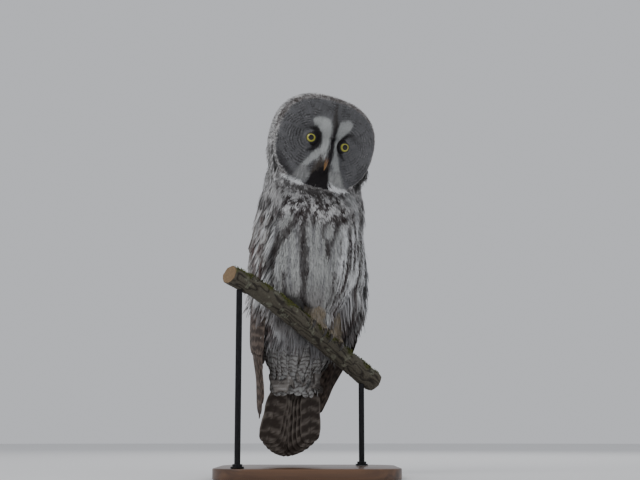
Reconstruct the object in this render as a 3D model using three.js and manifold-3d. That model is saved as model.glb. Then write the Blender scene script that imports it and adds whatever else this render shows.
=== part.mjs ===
// A great grey owl as a life-size still model. It grips a short cut length of
// inclined branch, and two rods hold the branch above a flat base.
// Units are millimetres and +Z is up. The viewer looks along +Y at the owl.
// The origin is the centre of the base's underside.
import * as THREE from "three";
import { mergeVertices } from "three/addons/utils/BufferGeometryUtils.js";
import Module from "manifold-3d";

// Clearance between pieces that touch
const GAP = 0.3;

// Two diagonals that differ by less than this count as equal
const EVEN = 0.01;

// Where round a tube its first corner lies, so that no two pieces share an edge
const TUBE_PHASE = 0.31;

// Stance: the owl stands at one place over the branch and is turned about the vertical
const OWL_X = 18.6;
const OWL_Y = 0;
const BODY_TURN = 28;

// Head: its middle at eye level, in the owl's frame, and how it is held
const HEAD_AT = { x: 4.5, y: -2, z: 588 };
const HEAD_TURN = -14;
const HEAD_TILT = 12.8;
const HEAD_NOD = 12;

// Outlines round the face: the disc of stiff feathers, and the hind head behind it
const DISC = { side: 90, up: 75.5, down: 82, square: 2.5 };
const HIND_HEAD = { side: 97, up: 87, down: 80, back: 84 };

// Depths of the face, forward from the middle of the head
const RIM_FORWARD = { side: 34, up: 38, down: 44 };
const FACE_FORWARD = 53;
const NOSE_RIDGE = { forward: 23, half: 11, top: 62, fullTop: 5, fullBottom: -25, bottom: -62 };
const DISH = { deep: 6, within: 8, beyond: 44 };

// Rings of the head: shares of the disc's radius out to its rim, then of the depth behind it
const HEAD_SIDES = 40;
const FACE_SHARES = [0.06, 0.18, 0.3, 0.42, 0.54, 0.66, 0.78, 0.89, 0.97];
const HIND_SHARES = [0, 0.1, 0.22, 0.38, 0.55, 0.72, 0.87, 0.96];

// Eyes
const EYE = { x: 30, y: -38.5, z: 0, radius: 12.5, outward: 9 };
const LID = { ring: 10.2, tube: 2.3 };

// Bill, in the head's frame
const BILL_ROOT = { y: -58, z: -11 };
const BILL_BEND = { y: -82, z: -17 };
const BILL_TIP = { y: -75, z: -50 };
const BILL_ROOT_SIZE = { half: 8, deep: 9 };
const LOWER_BILL_ROOT = { y: -56, z: -30 };
const LOWER_BILL_TIP = { y: -69.5, z: -44 };
const LOWER_BILL_SIZE = { half: 5.5, deep: 4 };
const BILL_FORM = { rings: 7, sides: 10, taper: 1.7, blunt: 0.006 };
const NOSTRIL = { radius: 1.5, side: 5.5, y: -74, z: -20 };

// Trunk from vent to neck: sections by height, in the owl's frame
const TRUNK = [
  { z: 182, x: 0, y: 91, wide: 50, deep: 22 },
  { z: 202, x: 0, y: 85, wide: 62, deep: 33 },
  { z: 228, x: 0, y: 77, wide: 74, deep: 46 },
  { z: 262, x: 0, y: 65, wide: 86, deep: 66 },
  { z: 300, x: 0, y: 50, wide: 98, deep: 80 },
  { z: 340, x: 0, y: 42, wide: 104, deep: 91 },
  { z: 390, x: 0, y: 40, wide: 102, deep: 94 },
  { z: 440, x: 0, y: 36, wide: 94, deep: 90 },
  { z: 470, x: 2, y: 34, wide: 91, deep: 83 },
  { z: 492, x: 4, y: 33, wide: 92, deep: 69 },
  { z: 512, x: 6, y: 33, wide: 94, deep: 58 },
  { z: 535, x: 6, y: 33, wide: 91, deep: 52 },
  { z: 570, x: 5, y: 28, wide: 78, deep: 46 },
];
const NECK_CUT = 478;
const TRUNK_GRID = { rings: 18, sides: 30 };

// The hollow of the flank in which each wing lies, in degrees from the breast
const WING_BED = { front: 66, edge: 78, back: 150, end: 166, deep: 11, low: 215, high: 492, fade: 30 };

// The outer face of the folded wings: sections by height
const WING_SHELL = [
  { z: 85, x: 0, y: 114, wide: 64, deep: 22 },
  { z: 120, x: 0, y: 105, wide: 69, deep: 30 },
  { z: 160, x: 0, y: 90, wide: 78, deep: 42 },
  { z: 200, x: 0, y: 70, wide: 93, deep: 62 },
  { z: 240, x: 0, y: 54, wide: 102, deep: 78 },
  { z: 280, x: 0, y: 45, wide: 105, deep: 90 },
  { z: 340, x: 0, y: 40, wide: 106, deep: 97 },
  { z: 395, x: 0, y: 40, wide: 104, deep: 97 },
  { z: 440, x: 0, y: 38, wide: 96, deep: 95 },
  { z: 497, x: 0, y: 32, wide: 93, deep: 86 },
];
const SECTION_SQUARE = 2.3;

// The arm and hand of each wing, round the body in degrees from the breast, by height
const WING_ARM = [
  { z: 284, front: 88, back: 132 },
  { z: 330, front: 82, back: 148 },
  { z: 430, front: 80, back: 150 },
  { z: 472, front: 84, back: 142 },
  { z: 494, front: 97, back: 122 },
];
const ARM_LIFT = { outer: -3.5, inner: -16 };

// Tiers of the folded wing's feathers, each counted from the front: turn and height at
// root and tip for the first and the last one, and how far they stand off the shell
const WING_TIERS = [
  {
    count: 5, wide: 28, thick: 1.5, slope: 1.1, lift: [-11, -6],
    root: { turn: [88, 106], z: [310, 326] }, tip: { turn: [89, 107], z: [152, 130] }, middleTip: 50,
  },
  {
    count: 5, wide: 34, thick: 1.5, slope: 1.2, lift: [-8, -3.6],
    root: { turn: [86, 138], z: [350, 372] }, tip: { turn: [81, 127], z: [203, 238] }, middleTip: 0,
  },
  {
    count: 5, wide: 33, thick: 1.5, slope: 1.2, lift: [-6.5, -0.8],
    root: { turn: [85, 140], z: [405, 420] }, tip: { turn: [81, 137], z: [298, 318] }, middleTip: 0,
  },
  {
    count: 4, wide: 38, thick: 1.5, slope: 1.2, lift: [-6, 1.2],
    root: { turn: [85, 136], z: [446, 455] }, tip: { turn: [80, 133], z: [362, 376] }, middleTip: 0,
  },
  {
    count: 4, wide: 36, thick: 1.6, slope: 1.2, lift: [-6, 2.6],
    root: { turn: [100, 144], z: [480, 472] }, tip: { turn: [108, 157], z: [404, 356] }, middleTip: 0,
  },
];

// Vanes: places along them from root to tip, their share of the full width, and edges
const VANE_PLACES = [0, 0.45, 0.86, 1];
const VANE_WIDTHS = [0.5, 1, 0.86, 0.32];
const VANE_EDGE = 0.6;
const VARY = { tip: 5, turn: 1.2, wide: 0.08 };

// Coverts over and under the tail's root: from turn to turn round the trunk's lower end
const VENT_TIERS = [
  { count: 6, wide: 27, thick: 1.6, slope: 0.8, turn: [-62, 62], z: [212, 143], lift: [-4, 0.5] },
  { count: 4, wide: 27, thick: 1.6, slope: 0.8, turn: [153, 207], z: [216, 150], lift: [-4, 0.5] },
];

// Tail: a root block, and feathers in pairs from the middle one outwards
const TAIL_ROOT = [
  { z: 132, x: 0, y: 98, wide: 40, deep: 8 },
  { z: 150, x: 0, y: 96, wide: 42, deep: 9 },
  { z: 181.7, x: 0, y: 92, wide: 40, deep: 9 },
];
const TAIL = {
  pairs: 6, wide: 42, thick: 1, rootWide: 5, tipWide: 7.9, root: { y: 98, z: 170 },
  tip: { y: 129, z: 33 }, layer: 1.35, rootLayer: 1.1, shorter: 24,
};

// Branch: a gently bent line, measured across the view, away from it and up
const BRANCH_LINE = [
  { x: -128, y: -140, z: 331 },
  { x: -85, y: -96, z: 312 },
  { x: -38, y: -50, z: 282 },
  { x: 18.6, y: 0, z: 241 },
  { x: 70, y: 46, z: 201 },
  { x: 118, y: 89, z: 166 },
];
const BRANCH_RADIUS = { high: 16, low: 19 };
const BARK = { rings: 17, sides: 14, relief: 1.1 };
const BRANCH_ROOM = { rings: 14, sides: 12, feet: 0.17, high: 12 };

// Stand
const BASE = { wide: 310, deep: 300, thick: 18, corner: 60, chamfer: 2 };
const ROD_RADIUS = 5;
const ROD_X = { high: -112, low: 95 };
const COLLAR = { radius: 11, high: 7 };

// Legs and feet
const FOOT_SPREAD = 14.5;
const LEG = { high: 44, back: 4, apart: 8.8, topHalf: 23, endHalf: 13, above: 10.2, bulge: 4, sides: 9 };
const FOOT_PAD = { along: 16, across: 13, high: 7.4, above: 4.07 };
const TOE = { radius: 6.4, endRadius: 4.8, above: 3.2, fan: 130, rings: 4, sides: 8 };
const TOES = [
  { name: "front_inner", aside: -9.4, from: -7, to: 75 },
  { name: "front_outer", aside: 8.9, from: -9, to: 71 },
  { name: "rear_inner", aside: -8.1, from: 5, to: -60 },
  { name: "rear_outer", aside: 7.3, from: 11, to: -64 },
];
const CLAW = {
  reach: 46, radius: 3.4, point: 0.3, lift: 4.5, arch: 3, taper: 0.7, sunk: 2, rings: 4, sides: 5,
};

const deg = THREE.MathUtils.degToRad;
const lerp = THREE.MathUtils.lerp;
const smooth = THREE.MathUtils.smoothstep;
const vec = (x, y, z) => new THREE.Vector3(x, y, z);

const wasm = await Module();
wasm.setup();

// Colours, roughness and metalness
const MATERIALS = {
  plumage: { color: 0x8b8882, roughness: 0.95, metalness: 0 },
  face: { color: 0x77767a, roughness: 0.95, metalness: 0 },
  vane: { color: 0x6f665e, roughness: 0.85, metalness: 0 },
  iris: { color: 0xd8c84a, roughness: 0.08, metalness: 0 },
  bill: { color: 0xc9a23a, roughness: 0.4, metalness: 0 },
  claw: { color: 0x1d1a18, roughness: 0.35, metalness: 0 },
  bark: { color: 0x4d463a, roughness: 0.95, metalness: 0 },
  wood: { color: 0x5b4431, roughness: 0.5, metalness: 0 },
  steel: { color: 0x2b2b2c, roughness: 0.4, metalness: 0.8 },
};

// Groups: the owl holds its head, and the mount holds branch, rods and base
const owl = new THREE.Group();
owl.position.set(OWL_X, OWL_Y, 0);
owl.rotation.z = deg(BODY_TURN);
const head = new THREE.Group();
head.position.set(HEAD_AT.x, HEAD_AT.y, HEAD_AT.z);
head.rotation.set(deg(HEAD_NOD), deg(HEAD_TILT), deg(HEAD_TURN), "ZXY");
owl.add(head);
const mount = new THREE.Group();
const root = new THREE.Group();
root.add(owl, mount);
root.updateMatrixWorld(true);

// Solids are cut and joined in the root's frame
function solidOf(geometry, frame = root) {
  const loose = geometry.index ? geometry.toNonIndexed() : geometry.clone();
  const bare = new THREE.BufferGeometry();
  bare.setAttribute("position", loose.getAttribute("position"));
  bare.applyMatrix4(frame.matrixWorld);
  const merged = mergeVertices(bare, 1e-3);
  return new wasm.Manifold(
    new wasm.Mesh({
      numProp: 3,
      vertProperties: merged.getAttribute("position").array,
      triVerts: new Uint32Array(merged.index.array),
    }),
  );
}

function largestOf(solid) {
  return solid.decompose().reduce((a, b) => (b.volume() > a.volume() ? b : a));
}

function joined(solids) {
  return wasm.Manifold.union(solids);
}

// Adds a solid to a group as a named mesh, in that group's own frame
function addPart(group, name, solid, material) {
  const mesh = largestOf(solid).getMesh();
  const points = new Float32Array(mesh.numVert * 3);
  for (let i = 0; i < mesh.numVert; i++) {
    points.set(mesh.vertProperties.subarray(i * mesh.numProp, i * mesh.numProp + 3), i * 3);
  }
  const geometry = new THREE.BufferGeometry();
  geometry.setAttribute("position", new THREE.BufferAttribute(points, 3));
  geometry.setIndex(new THREE.BufferAttribute(mesh.triVerts, 1));
  geometry.applyMatrix4(group.matrixWorld.clone().invert());
  geometry.computeVertexNormals();
  const part = new THREE.Mesh(geometry, new THREE.MeshStandardMaterial(MATERIALS[material]));
  part.name = name;
  group.add(part);
  return part;
}

// A closed body through rings of equally many points, with its ends fanned shut.
// Each quad is split along its shorter diagonal, or as the given rule says.
function loft(rings, rule) {
  const sides = rings[0].length;
  const middle = (ring) => ring.reduce((sum, p) => sum.add(p), vec(0, 0, 0)).divideScalar(sides);
  const points = [...rings.flat(), middle(rings[0]), middle(rings[rings.length - 1])];
  const shorter = (a, b, c, d) => points[a].distanceTo(points[c]) <= points[b].distanceTo(points[d]) + EVEN;
  const faces = [];
  for (let k = 0; k + 1 < rings.length; k++) {
    for (let j = 0; j < sides; j++) {
      const a = k * sides + j;
      const b = k * sides + ((j + 1) % sides);
      const [c, d] = [b + sides, a + sides];
      const first = rule ? rule(j) : shorter(a, b, c, d);
      if (first) faces.push([a, b, c], [a, c, d]);
      else faces.push([a, b, d], [b, c, d]);
    }
  }
  const last = (rings.length - 1) * sides;
  const near = rings.length * sides;
  for (let j = 0; j < sides; j++) {
    const next = (j + 1) % sides;
    faces.push([near, next, j], [near + 1, last + j, last + next]);
  }
  return closed(points, faces);
}

// A mesh from points and triangles, with the faces turned to point out
function closed(points, faces) {
  let volume = 0;
  for (const [a, b, c] of faces) {
    volume += points[a].dot(vec(0, 0, 0).crossVectors(points[b], points[c]));
  }
  const order = volume < 0 ? faces.map(([a, b, c]) => [a, c, b]) : faces;
  const geometry = new THREE.BufferGeometry().setFromPoints(points);
  geometry.setIndex(order.flat());
  return geometry;
}

// The value of a list of sections at a height, smooth between them
function sectionAt(list, z, key) {
  const last = list.length - 1;
  let i = 0;
  while (i < last - 1 && z > list[i + 1].z) i++;
  const slope = (k) => {
    const low = list[Math.max(k - 1, 0)];
    const high = list[Math.min(k + 1, last)];
    return (high[key] - low[key]) / (high.z - low.z);
  };
  const run = list[i + 1].z - list[i].z;
  const t = THREE.MathUtils.clamp((z - list[i].z) / run, 0, 1);
  const t2 = t * t;
  const t3 = t2 * t;
  return (
    (2 * t3 - 3 * t2 + 1) * list[i][key] +
    (t3 - 2 * t2 + t) * run * slope(i) +
    (3 * t2 - 2 * t3) * list[i + 1][key] +
    (t3 - t2) * run * slope(i + 1)
  );
}

const signedPower = (value, power) => Math.sign(value) * Math.abs(value) ** power;

// A point of a rounded section: turn 0 faces front, 90 the owl's left, 180 its back
function shellPoint(list, z, turn, grow = 0) {
  const power = 2 / SECTION_SQUARE;
  const wide = sectionAt(list, z, "wide") + grow;
  const deep = sectionAt(list, z, "deep") + grow;
  return vec(
    sectionAt(list, z, "x") + wide * signedPower(Math.sin(deg(turn)), power),
    sectionAt(list, z, "y") - deep * signedPower(Math.cos(deg(turn)), power),
    z,
  );
}

function steps(from, to, count) {
  return Array.from({ length: count + 1 }, (_, i) => lerp(from, to, i / count));
}

// How deep the flank is hollowed for the wing at a height and a turn from the breast
function bedDepth(z, turn) {
  const aside = Math.min(turn, 360 - turn);
  const behind = smooth(aside, WING_BED.front, WING_BED.edge);
  const across = behind * (1 - smooth(aside, WING_BED.back, WING_BED.end));
  const above = smooth(z, WING_BED.low - WING_BED.fade, WING_BED.low + WING_BED.fade);
  const along = above * (1 - smooth(z, WING_BED.high - WING_BED.fade, WING_BED.high));
  return WING_BED.deep * across * along;
}

// Trunk with the neck on it, and the same grown by a clearance
function trunkSolid(grow = 0) {
  const rings = steps(TRUNK[0].z - grow, TRUNK[TRUNK.length - 1].z, TRUNK_GRID.rings).map((z) =>
    steps(0, 360, TRUNK_GRID.sides)
      .slice(0, -1)
      .map((turn) => shellPoint(TRUNK, z, turn, grow - bedDepth(z, turn))),
  );
  return solidOf(loft(rings), owl);
}

// The disc's outline at an angle round the face
function discRadius(angle) {
  const c = Math.cos(angle);
  const s = Math.sin(angle);
  const high = s > 0 ? DISC.up : DISC.down;
  const sum = Math.abs(c / DISC.side) ** DISC.square + Math.abs(s / high) ** DISC.square;
  return sum ** (-1 / DISC.square);
}

function rimForward(angle) {
  const s = Math.sin(angle);
  const end = s > 0 ? RIM_FORWARD.up : RIM_FORWARD.down;
  return lerp(RIM_FORWARD.side, end, s * s);
}

// How far forward the face stands: dishes about the eyes with the ridge of the bill between
function faceForward(angle, share) {
  const r = discRadius(angle) * share;
  const x = r * Math.cos(angle);
  const z = r * Math.sin(angle);
  const dome = lerp(FACE_FORWARD, rimForward(angle), share ** 2);
  const below = smooth(z, NOSE_RIDGE.bottom, NOSE_RIDGE.fullBottom);
  const along = below * (1 - smooth(z, NOSE_RIDGE.fullTop, NOSE_RIDGE.top));
  const ridge = NOSE_RIDGE.forward * Math.exp(-((x / NOSE_RIDGE.half) ** 2)) * along;
  const fromEye = Math.hypot(Math.abs(x) - EYE.x, z - EYE.z);
  const dish = DISH.deep * (1 - smooth(fromEye, DISH.within, DISH.beyond));
  return dome + ridge - dish;
}

// The outline of the hind head at an angle round the face
function hindRadius(angle) {
  const c = Math.cos(angle);
  const s = Math.sin(angle);
  const high = s > 0 ? HIND_HEAD.up : HIND_HEAD.down;
  const sum = Math.abs(c / HIND_HEAD.side) ** DISC.square + Math.abs(s / high) ** DISC.square;
  return sum ** (-1 / DISC.square);
}

function headRings(grow) {
  const angles = steps(0, 2 * Math.PI, HEAD_SIDES).slice(0, -1);
  const ring = (radius, forward) =>
    angles.map((a) => {
      const r = radius(a) + grow;
      return vec(r * Math.cos(a), -forward(a), r * Math.sin(a));
    });
  const face = FACE_SHARES.map((share) =>
    ring((a) => discRadius(a) * share, (a) => faceForward(a, share) + grow),
  );
  const hind = HIND_SHARES.map((share) => {
    const round = Math.sqrt(1 - Math.max(0, (share - 0.3) / 0.7) ** 2.2);
    const swell = smooth(share, -0.02, 0.26);
    return ring(
      (a) => lerp(discRadius(a), hindRadius(a), swell) * round,
      (a) => lerp(rimForward(a) - 1, -HIND_HEAD.back, share),
    );
  });
  return [...face, ...hind];
}

function headShell(grow = 0) {
  return solidOf(loft(headRings(grow)), head);
}

function eyeball(side, grow = 0) {
  const ball = new THREE.SphereGeometry(EYE.radius + grow, 16, 10);
  ball.translate(side * EYE.x, EYE.y, EYE.z);
  return solidOf(ball, head);
}

// A ring of lid round the opening of the eye
function eyelid(side) {
  const ring = new THREE.TorusGeometry(LID.ring, LID.tube, 6, 20);
  ring.rotateX(Math.PI / 2);
  ring.translate(0, -Math.sqrt(EYE.radius ** 2 - LID.ring ** 2) - 0.8, 0);
  ring.rotateZ(side * deg(EYE.outward));
  ring.translate(side * EYE.x, EYE.y, EYE.z);
  return solidOf(ring, head);
}

// A bill half: oval rings along a bent line, narrowing to the tip
function billHalf(line, size, grow) {
  const curve = new THREE.QuadraticBezierCurve3(...line.map((p) => vec(0, p.y, p.z)));
  const rings = steps(0, 1, BILL_FORM.rings).map((t) => {
    const at = curve.getPoint(t);
    const run = curve.getTangent(t);
    const up = vec(0, run.z, -run.y);
    const taper = Math.sqrt(Math.max(1 - t ** BILL_FORM.taper, BILL_FORM.blunt));
    return steps(0, 2 * Math.PI, BILL_FORM.sides)
      .slice(0, -1)
      .map((a) =>
        at
          .clone()
          .addScaledVector(vec(1, 0, 0), (size.half * taper + grow) * Math.cos(a))
          .addScaledVector(up, (size.deep * taper + grow) * Math.sin(a)),
      );
  });
  return solidOf(loft(rings), head);
}

function upperBill(grow = 0) {
  return billHalf([BILL_ROOT, BILL_BEND, BILL_TIP], BILL_ROOT_SIZE, grow);
}

function lowerBill(grow = 0) {
  const bend = { y: LOWER_BILL_TIP.y + 2, z: LOWER_BILL_ROOT.z - 3 };
  return billHalf([LOWER_BILL_ROOT, bend, LOWER_BILL_TIP], LOWER_BILL_SIZE, grow);
}

function nostril(side) {
  const hole = new THREE.SphereGeometry(NOSTRIL.radius, 8, 6);
  hole.translate(side * NOSTRIL.side, NOSTRIL.y, NOSTRIL.z);
  return solidOf(hole, head);
}

function addHead(trunk) {
  const shell = headShell();
  const carved = joined([shell, eyelid(-1), eyelid(1)])
    .subtract(joined([eyeball(-1, GAP), eyeball(1, GAP), upperBill(GAP), lowerBill(GAP)]));
  addPart(head, "head", carved, "face");
  addPart(head, "eye_right", eyeball(-1), "iris");
  addPart(head, "eye_left", eyeball(1), "iris");
  const upper = upperBill().subtract(joined([nostril(-1), nostril(1)]));
  addPart(head, "bill_upper", upper, "bill");
  addPart(head, "bill_lower", lowerBill().subtract(upperBill(GAP)), "bill");
  const neck = trunk.trimByPlane([0, 0, 1], NECK_CUT + GAP).subtract(headShell(GAP));
  addPart(owl, "neck", neck, "plumage");
}

// A seeded draw between -1 and 1, the same on every run
let drawState = 20251;
function draw() {
  drawState = (drawState * 1664525 + 1013904223) % 4294967296;
  return (drawState / 4294967296) * 2 - 1;
}

// A feather's vane along a line: thin at its edges, thicker along its shaft, one edge
// raised over its neighbour; the upper and lower faces are split alike
function vane(place, outward, size) {
  const rings = VANE_PLACES.map((t, k) => {
    const at = place(t);
    const out = outward(t);
    const run = place(t + 0.01).sub(place(t - 0.01)).normalize();
    const across = vec(0, 0, 0).crossVectors(out, run).normalize();
    const up = vec(0, 0, 0).crossVectors(run, across);
    const half = (size.wide / 2) * VANE_WIDTHS[k];
    const corner = (aside, rise) =>
      at
        .clone()
        .addScaledVector(across, aside * half)
        .addScaledVector(up, rise + aside * size.slope * VANE_WIDTHS[k]);
    const [edge, shaft] = [VANE_EDGE / 2, size.thick / 2];
    const upper = [corner(-1, edge), corner(0, shaft), corner(1, edge)];
    return [...upper, corner(1, -edge), corner(0, -shaft), corner(-1, -edge)];
  });
  return solidOf(loft(rings, (j) => j < 3), owl);
}

// A vane that lies on a shell; turn, height and lift run from root to tip
function shellVane(shell, turn, z, lift, size) {
  const point = (t, off) =>
    shellPoint(shell, lerp(...z, t), lerp(...turn, t), lerp(...lift, t) + off);
  return vane((t) => point(t, 0), (t) => point(t, 1).sub(point(t, 0)).normalize(), size);
}

// The arm of a folded wing, from which its feathers grow
function wingArm(side) {
  const rings = steps(WING_ARM[0].z, WING_ARM[WING_ARM.length - 1].z, 9).map((z) => {
    const front = sectionAt(WING_ARM, z, "front");
    const back = sectionAt(WING_ARM, z, "back");
    const line = (from, to, lift) =>
      steps(from, to, 5).map((turn) => shellPoint(WING_SHELL, z, side * turn, lift));
    return [...line(front, back, ARM_LIFT.outer), ...line(back - 2, front + 2, ARM_LIFT.inner)];
  });
  return solidOf(loft(rings), owl);
}

function wingTier(side, tier) {
  return steps(0, 1, tier.count - 1).map((u) => {
    const turn = [lerp(...tier.root.turn, u), lerp(...tier.tip.turn, u) + VARY.turn * draw()];
    const longest = tier.middleTip * Math.sin(Math.PI * u);
    const z = [lerp(...tier.root.z, u), lerp(...tier.tip.z, u) - longest + VARY.tip * draw()];
    const size = { wide: tier.wide * (1 + VARY.wide * draw()), thick: tier.thick, slope: tier.slope * side };
    return shellVane(WING_SHELL, turn.map((angle) => angle * side), z, tier.lift, size);
  });
}

function addWings(trunkRoom) {
  for (const [side, name] of [[-1, "wing_right"], [1, "wing_left"]]) {
    const feathers = WING_TIERS.flatMap((tier) => wingTier(side, tier));
    addPart(owl, name, joined([wingArm(side), ...feathers]).subtract(trunkRoom), "vane");
  }
}

// Coverts about the vent and the rump, which hang over the tail's root
function ventFeathers() {
  return VENT_TIERS.flatMap((tier) =>
    steps(...tier.turn, tier.count - 1).map((turn) => {
      const z = [tier.z[0], tier.z[1] + VARY.tip * draw()];
      return shellVane(TRUNK, [turn, turn], z, tier.lift, tier);
    }),
  );
}

// Tail feathers one layer apart: the middle pair lies rearmost, the outer ones in front
function addTail(trunkRoom) {
  const block = steps(TAIL_ROOT[0].z, TAIL_ROOT[TAIL_ROOT.length - 1].z, 3).map((z) =>
    steps(0, 360, 12)
      .slice(0, -1)
      .map((turn) => shellPoint(TAIL_ROOT, z, turn)),
  );
  const feathers = [];
  for (let rank = 0; rank < 2 * TAIL.pairs; rank++) {
    const side = rank % 2 ? 1 : -1;
    const place = Math.floor(rank / 2) + 0.5;
    const share = place / (TAIL.pairs - 0.5);
    const root = vec(side * place * TAIL.rootWide, TAIL.root.y - rank * TAIL.rootLayer, TAIL.root.z);
    const tipZ = TAIL.tip.z + TAIL.shorter * share ** 2;
    const tip = vec(side * place * TAIL.tipWide, TAIL.tip.y - rank * TAIL.layer, tipZ);
    const along = (t) => root.clone().lerp(tip, t);
    feathers.push(vane(along, () => vec(0, 1, 0), { wide: TAIL.wide, thick: TAIL.thick, slope: 0 }));
  }
  addPart(owl, "tail", joined([solidOf(loft(block), owl), ...feathers]).subtract(trunkRoom), "vane");
}

// The branch's middle line, and its frame at a place: along, forward over the top, and up
const branchCurve = new THREE.CatmullRomCurve3(BRANCH_LINE.map((p) => vec(p.x, p.y, p.z)));

function branchFrame(t) {
  const at = branchCurve.getPoint(t);
  const along = branchCurve.getTangent(t).normalize();
  const up = vec(0, 0, 1).addScaledVector(along, -along.z).normalize();
  const forward = vec(0, 0, 0).crossVectors(along, up);
  return { at, along, up, forward };
}

function branchRadius(t) {
  return lerp(BRANCH_RADIUS.high, BRANCH_RADIUS.low, t);
}

// The place along the branch that lies at a given distance across the view
function branchPlace(x) {
  let low = 0;
  let high = 1;
  for (let i = 0; i < 40; i++) {
    const middle = (low + high) / 2;
    if (branchCurve.getPoint(middle).x < x) low = middle;
    else high = middle;
  }
  return low;
}

function branchSolid() {
  const rings = steps(0, 1, BARK.rings).map((t, k) => {
    const { at, up, forward } = branchFrame(t);
    return steps(0, 2 * Math.PI, BARK.sides)
      .slice(0, -1)
      .map((a, j) => {
        const furrow = (j % 2 ? 1 : -1) * BARK.relief * 0.5 + BARK.relief * 0.4 * Math.sin(k * 1.9 + j);
        const r = branchRadius(t) + furrow;
        return at.clone().addScaledVector(forward, r * Math.cos(a)).addScaledVector(up, r * Math.sin(a));
      });
  });
  return solidOf(loft(rings));
}

// The smooth room round the branch, wider where the feet grip it
function branchRoom(footClearance = 0) {
  const middle = branchPlace(OWL_X);
  const rings = steps(0, 1, BRANCH_ROOM.rings).map((t) => {
    const { at, up, forward } = branchFrame(t);
    const away = Math.abs(t - middle);
    const clear = footClearance * (1 - smooth(away, BRANCH_ROOM.feet, BRANCH_ROOM.feet * 1.5));
    const r = (branchRadius(t) + BARK.relief + GAP + clear) / Math.cos(Math.PI / BRANCH_ROOM.sides);
    return steps(0, 2 * Math.PI, BRANCH_ROOM.sides)
      .slice(0, -1)
      .map((a) => at.clone().addScaledVector(forward, r * Math.cos(a)).addScaledVector(up, r * Math.sin(a)));
  });
  return solidOf(loft(rings));
}

// A bent tube through points, with a radius at each of its rings; aside is never along it
function taperedTube(points, radii, sides, aside) {
  const curve = new THREE.CatmullRomCurve3(points);
  const count = radii.length - 1;
  const rings = radii.map((radius, k) => {
    const at = curve.getPoint(k / count);
    const over = vec(0, 0, 0).crossVectors(curve.getTangent(k / count), aside).normalize();
    const across = vec(0, 0, 0).crossVectors(over, curve.getTangent(k / count));
    return steps(TUBE_PHASE, TUBE_PHASE + 2 * Math.PI, sides)
      .slice(0, -1)
      .map((a) =>
        at
          .clone()
          .addScaledVector(across, radius * Math.cos(a))
          .addScaledVector(over, radius * Math.sin(a)),
      );
  });
  return loft(rings);
}

// Where a foot stands: the branch's frame at the foot, with forward towards the breast
function footFrame(side) {
  const t = branchPlace(OWL_X + side * FOOT_SPREAD);
  const frame = branchFrame(t);
  const front = vec(Math.sin(deg(BODY_TURN)), -Math.cos(deg(BODY_TURN)), 0);
  if (frame.forward.dot(front) < 0) {
    frame.forward.negate();
    frame.along.negate();
  }
  return { ...frame, radius: branchRadius(t) + BARK.relief };
}

// How far along the branch a toe lies where it has turned by an angle: toes spread as they go
function toeAside(toe, angle) {
  return toe.aside * (1 + Math.abs(angle) / TOE.fan);
}

// A point round the branch: 0 degrees on top, positive towards the front
function gripPoint(frame, aside, angle, lift) {
  const r = frame.radius + lift;
  return frame.at
    .clone()
    .addScaledVector(frame.along, aside)
    .addScaledVector(frame.up, r * Math.cos(deg(angle)))
    .addScaledVector(frame.forward, r * Math.sin(deg(angle)));
}

function footPad(frame, grow = 0) {
  const pad = new THREE.SphereGeometry(1, 10, 6);
  const basis = new THREE.Matrix4().makeBasis(frame.forward, frame.along, frame.up);
  pad.scale(FOOT_PAD.across + grow, FOOT_PAD.along + grow, FOOT_PAD.high + grow);
  pad.applyMatrix4(basis);
  const centre = gripPoint(frame, 0, 0, FOOT_PAD.above);
  pad.translate(centre.x, centre.y, centre.z);
  return solidOf(pad);
}

function toeSolid(frame, toe, grow = 0) {
  const points = steps(toe.from, toe.to, TOE.rings).map((angle) =>
    gripPoint(frame, toeAside(toe, angle), angle, TOE.above),
  );
  const radii = steps(TOE.radius, TOE.endRadius, TOE.rings).map((r) => r + grow);
  return solidOf(taperedTube(points, radii, TOE.sides, frame.along));
}

function clawSolid(frame, toe) {
  const turn = Math.sign(toe.to);
  const start = toe.to - turn * CLAW.sunk;
  const aside = toeAside(toe, start);
  const points = steps(0, 1, CLAW.rings).map((t) =>
    gripPoint(frame, aside, start + turn * CLAW.reach * t, CLAW.lift + CLAW.arch * Math.sin(Math.PI * t)),
  );
  const radii = steps(0, 1, CLAW.rings).map((t) => CLAW.radius * (1 - t) ** CLAW.taper + CLAW.point);
  return solidOf(taperedTube(points, radii, CLAW.sides, frame.along));
}

// A feathered leg from inside the belly down to the foot's pad
function legSolid(side, frame, grow = 0) {
  const end = gripPoint(frame, 0, 0, LEG.above);
  const aside = owl.localToWorld(vec(side * LEG.apart, LEG.back, 0)).sub(owl.position);
  const top = end.clone().add(vec(aside.x, aside.y, LEG.high));
  const middle = top.clone().lerp(end, 0.5).addScaledVector(frame.forward, LEG.bulge);
  const radii = steps(LEG.topHalf, LEG.endHalf, 3).map((r) => r + grow);
  return solidOf(taperedTube([top, middle, end], radii, LEG.sides, frame.along));
}

function footSolid(frame, grow = 0) {
  return joined([footPad(frame, grow), ...TOES.map((toe) => toeSolid(frame, toe, grow))]);
}

// Adds both legs with their feet and claws, and returns the room that the legs take
function addLegs(gripRoom) {
  const rooms = [];
  for (const [side, name] of [[-1, "right"], [1, "left"]]) {
    const frame = footFrame(side);
    const footRoom = footSolid(frame, GAP);
    addPart(mount, "foot_" + name, footSolid(frame).subtract(gripRoom), "plumage");
    addPart(owl, "leg_" + name, legSolid(side, frame).subtract(footRoom), "plumage");
    for (const toe of TOES) {
      const claw = clawSolid(frame, toe).subtract(footRoom).subtract(gripRoom);
      addPart(mount, "claw_" + name + "_" + toe.name, claw, "claw");
    }
    rooms.push(legSolid(side, frame, GAP));
  }
  return joined(rooms);
}

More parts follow.
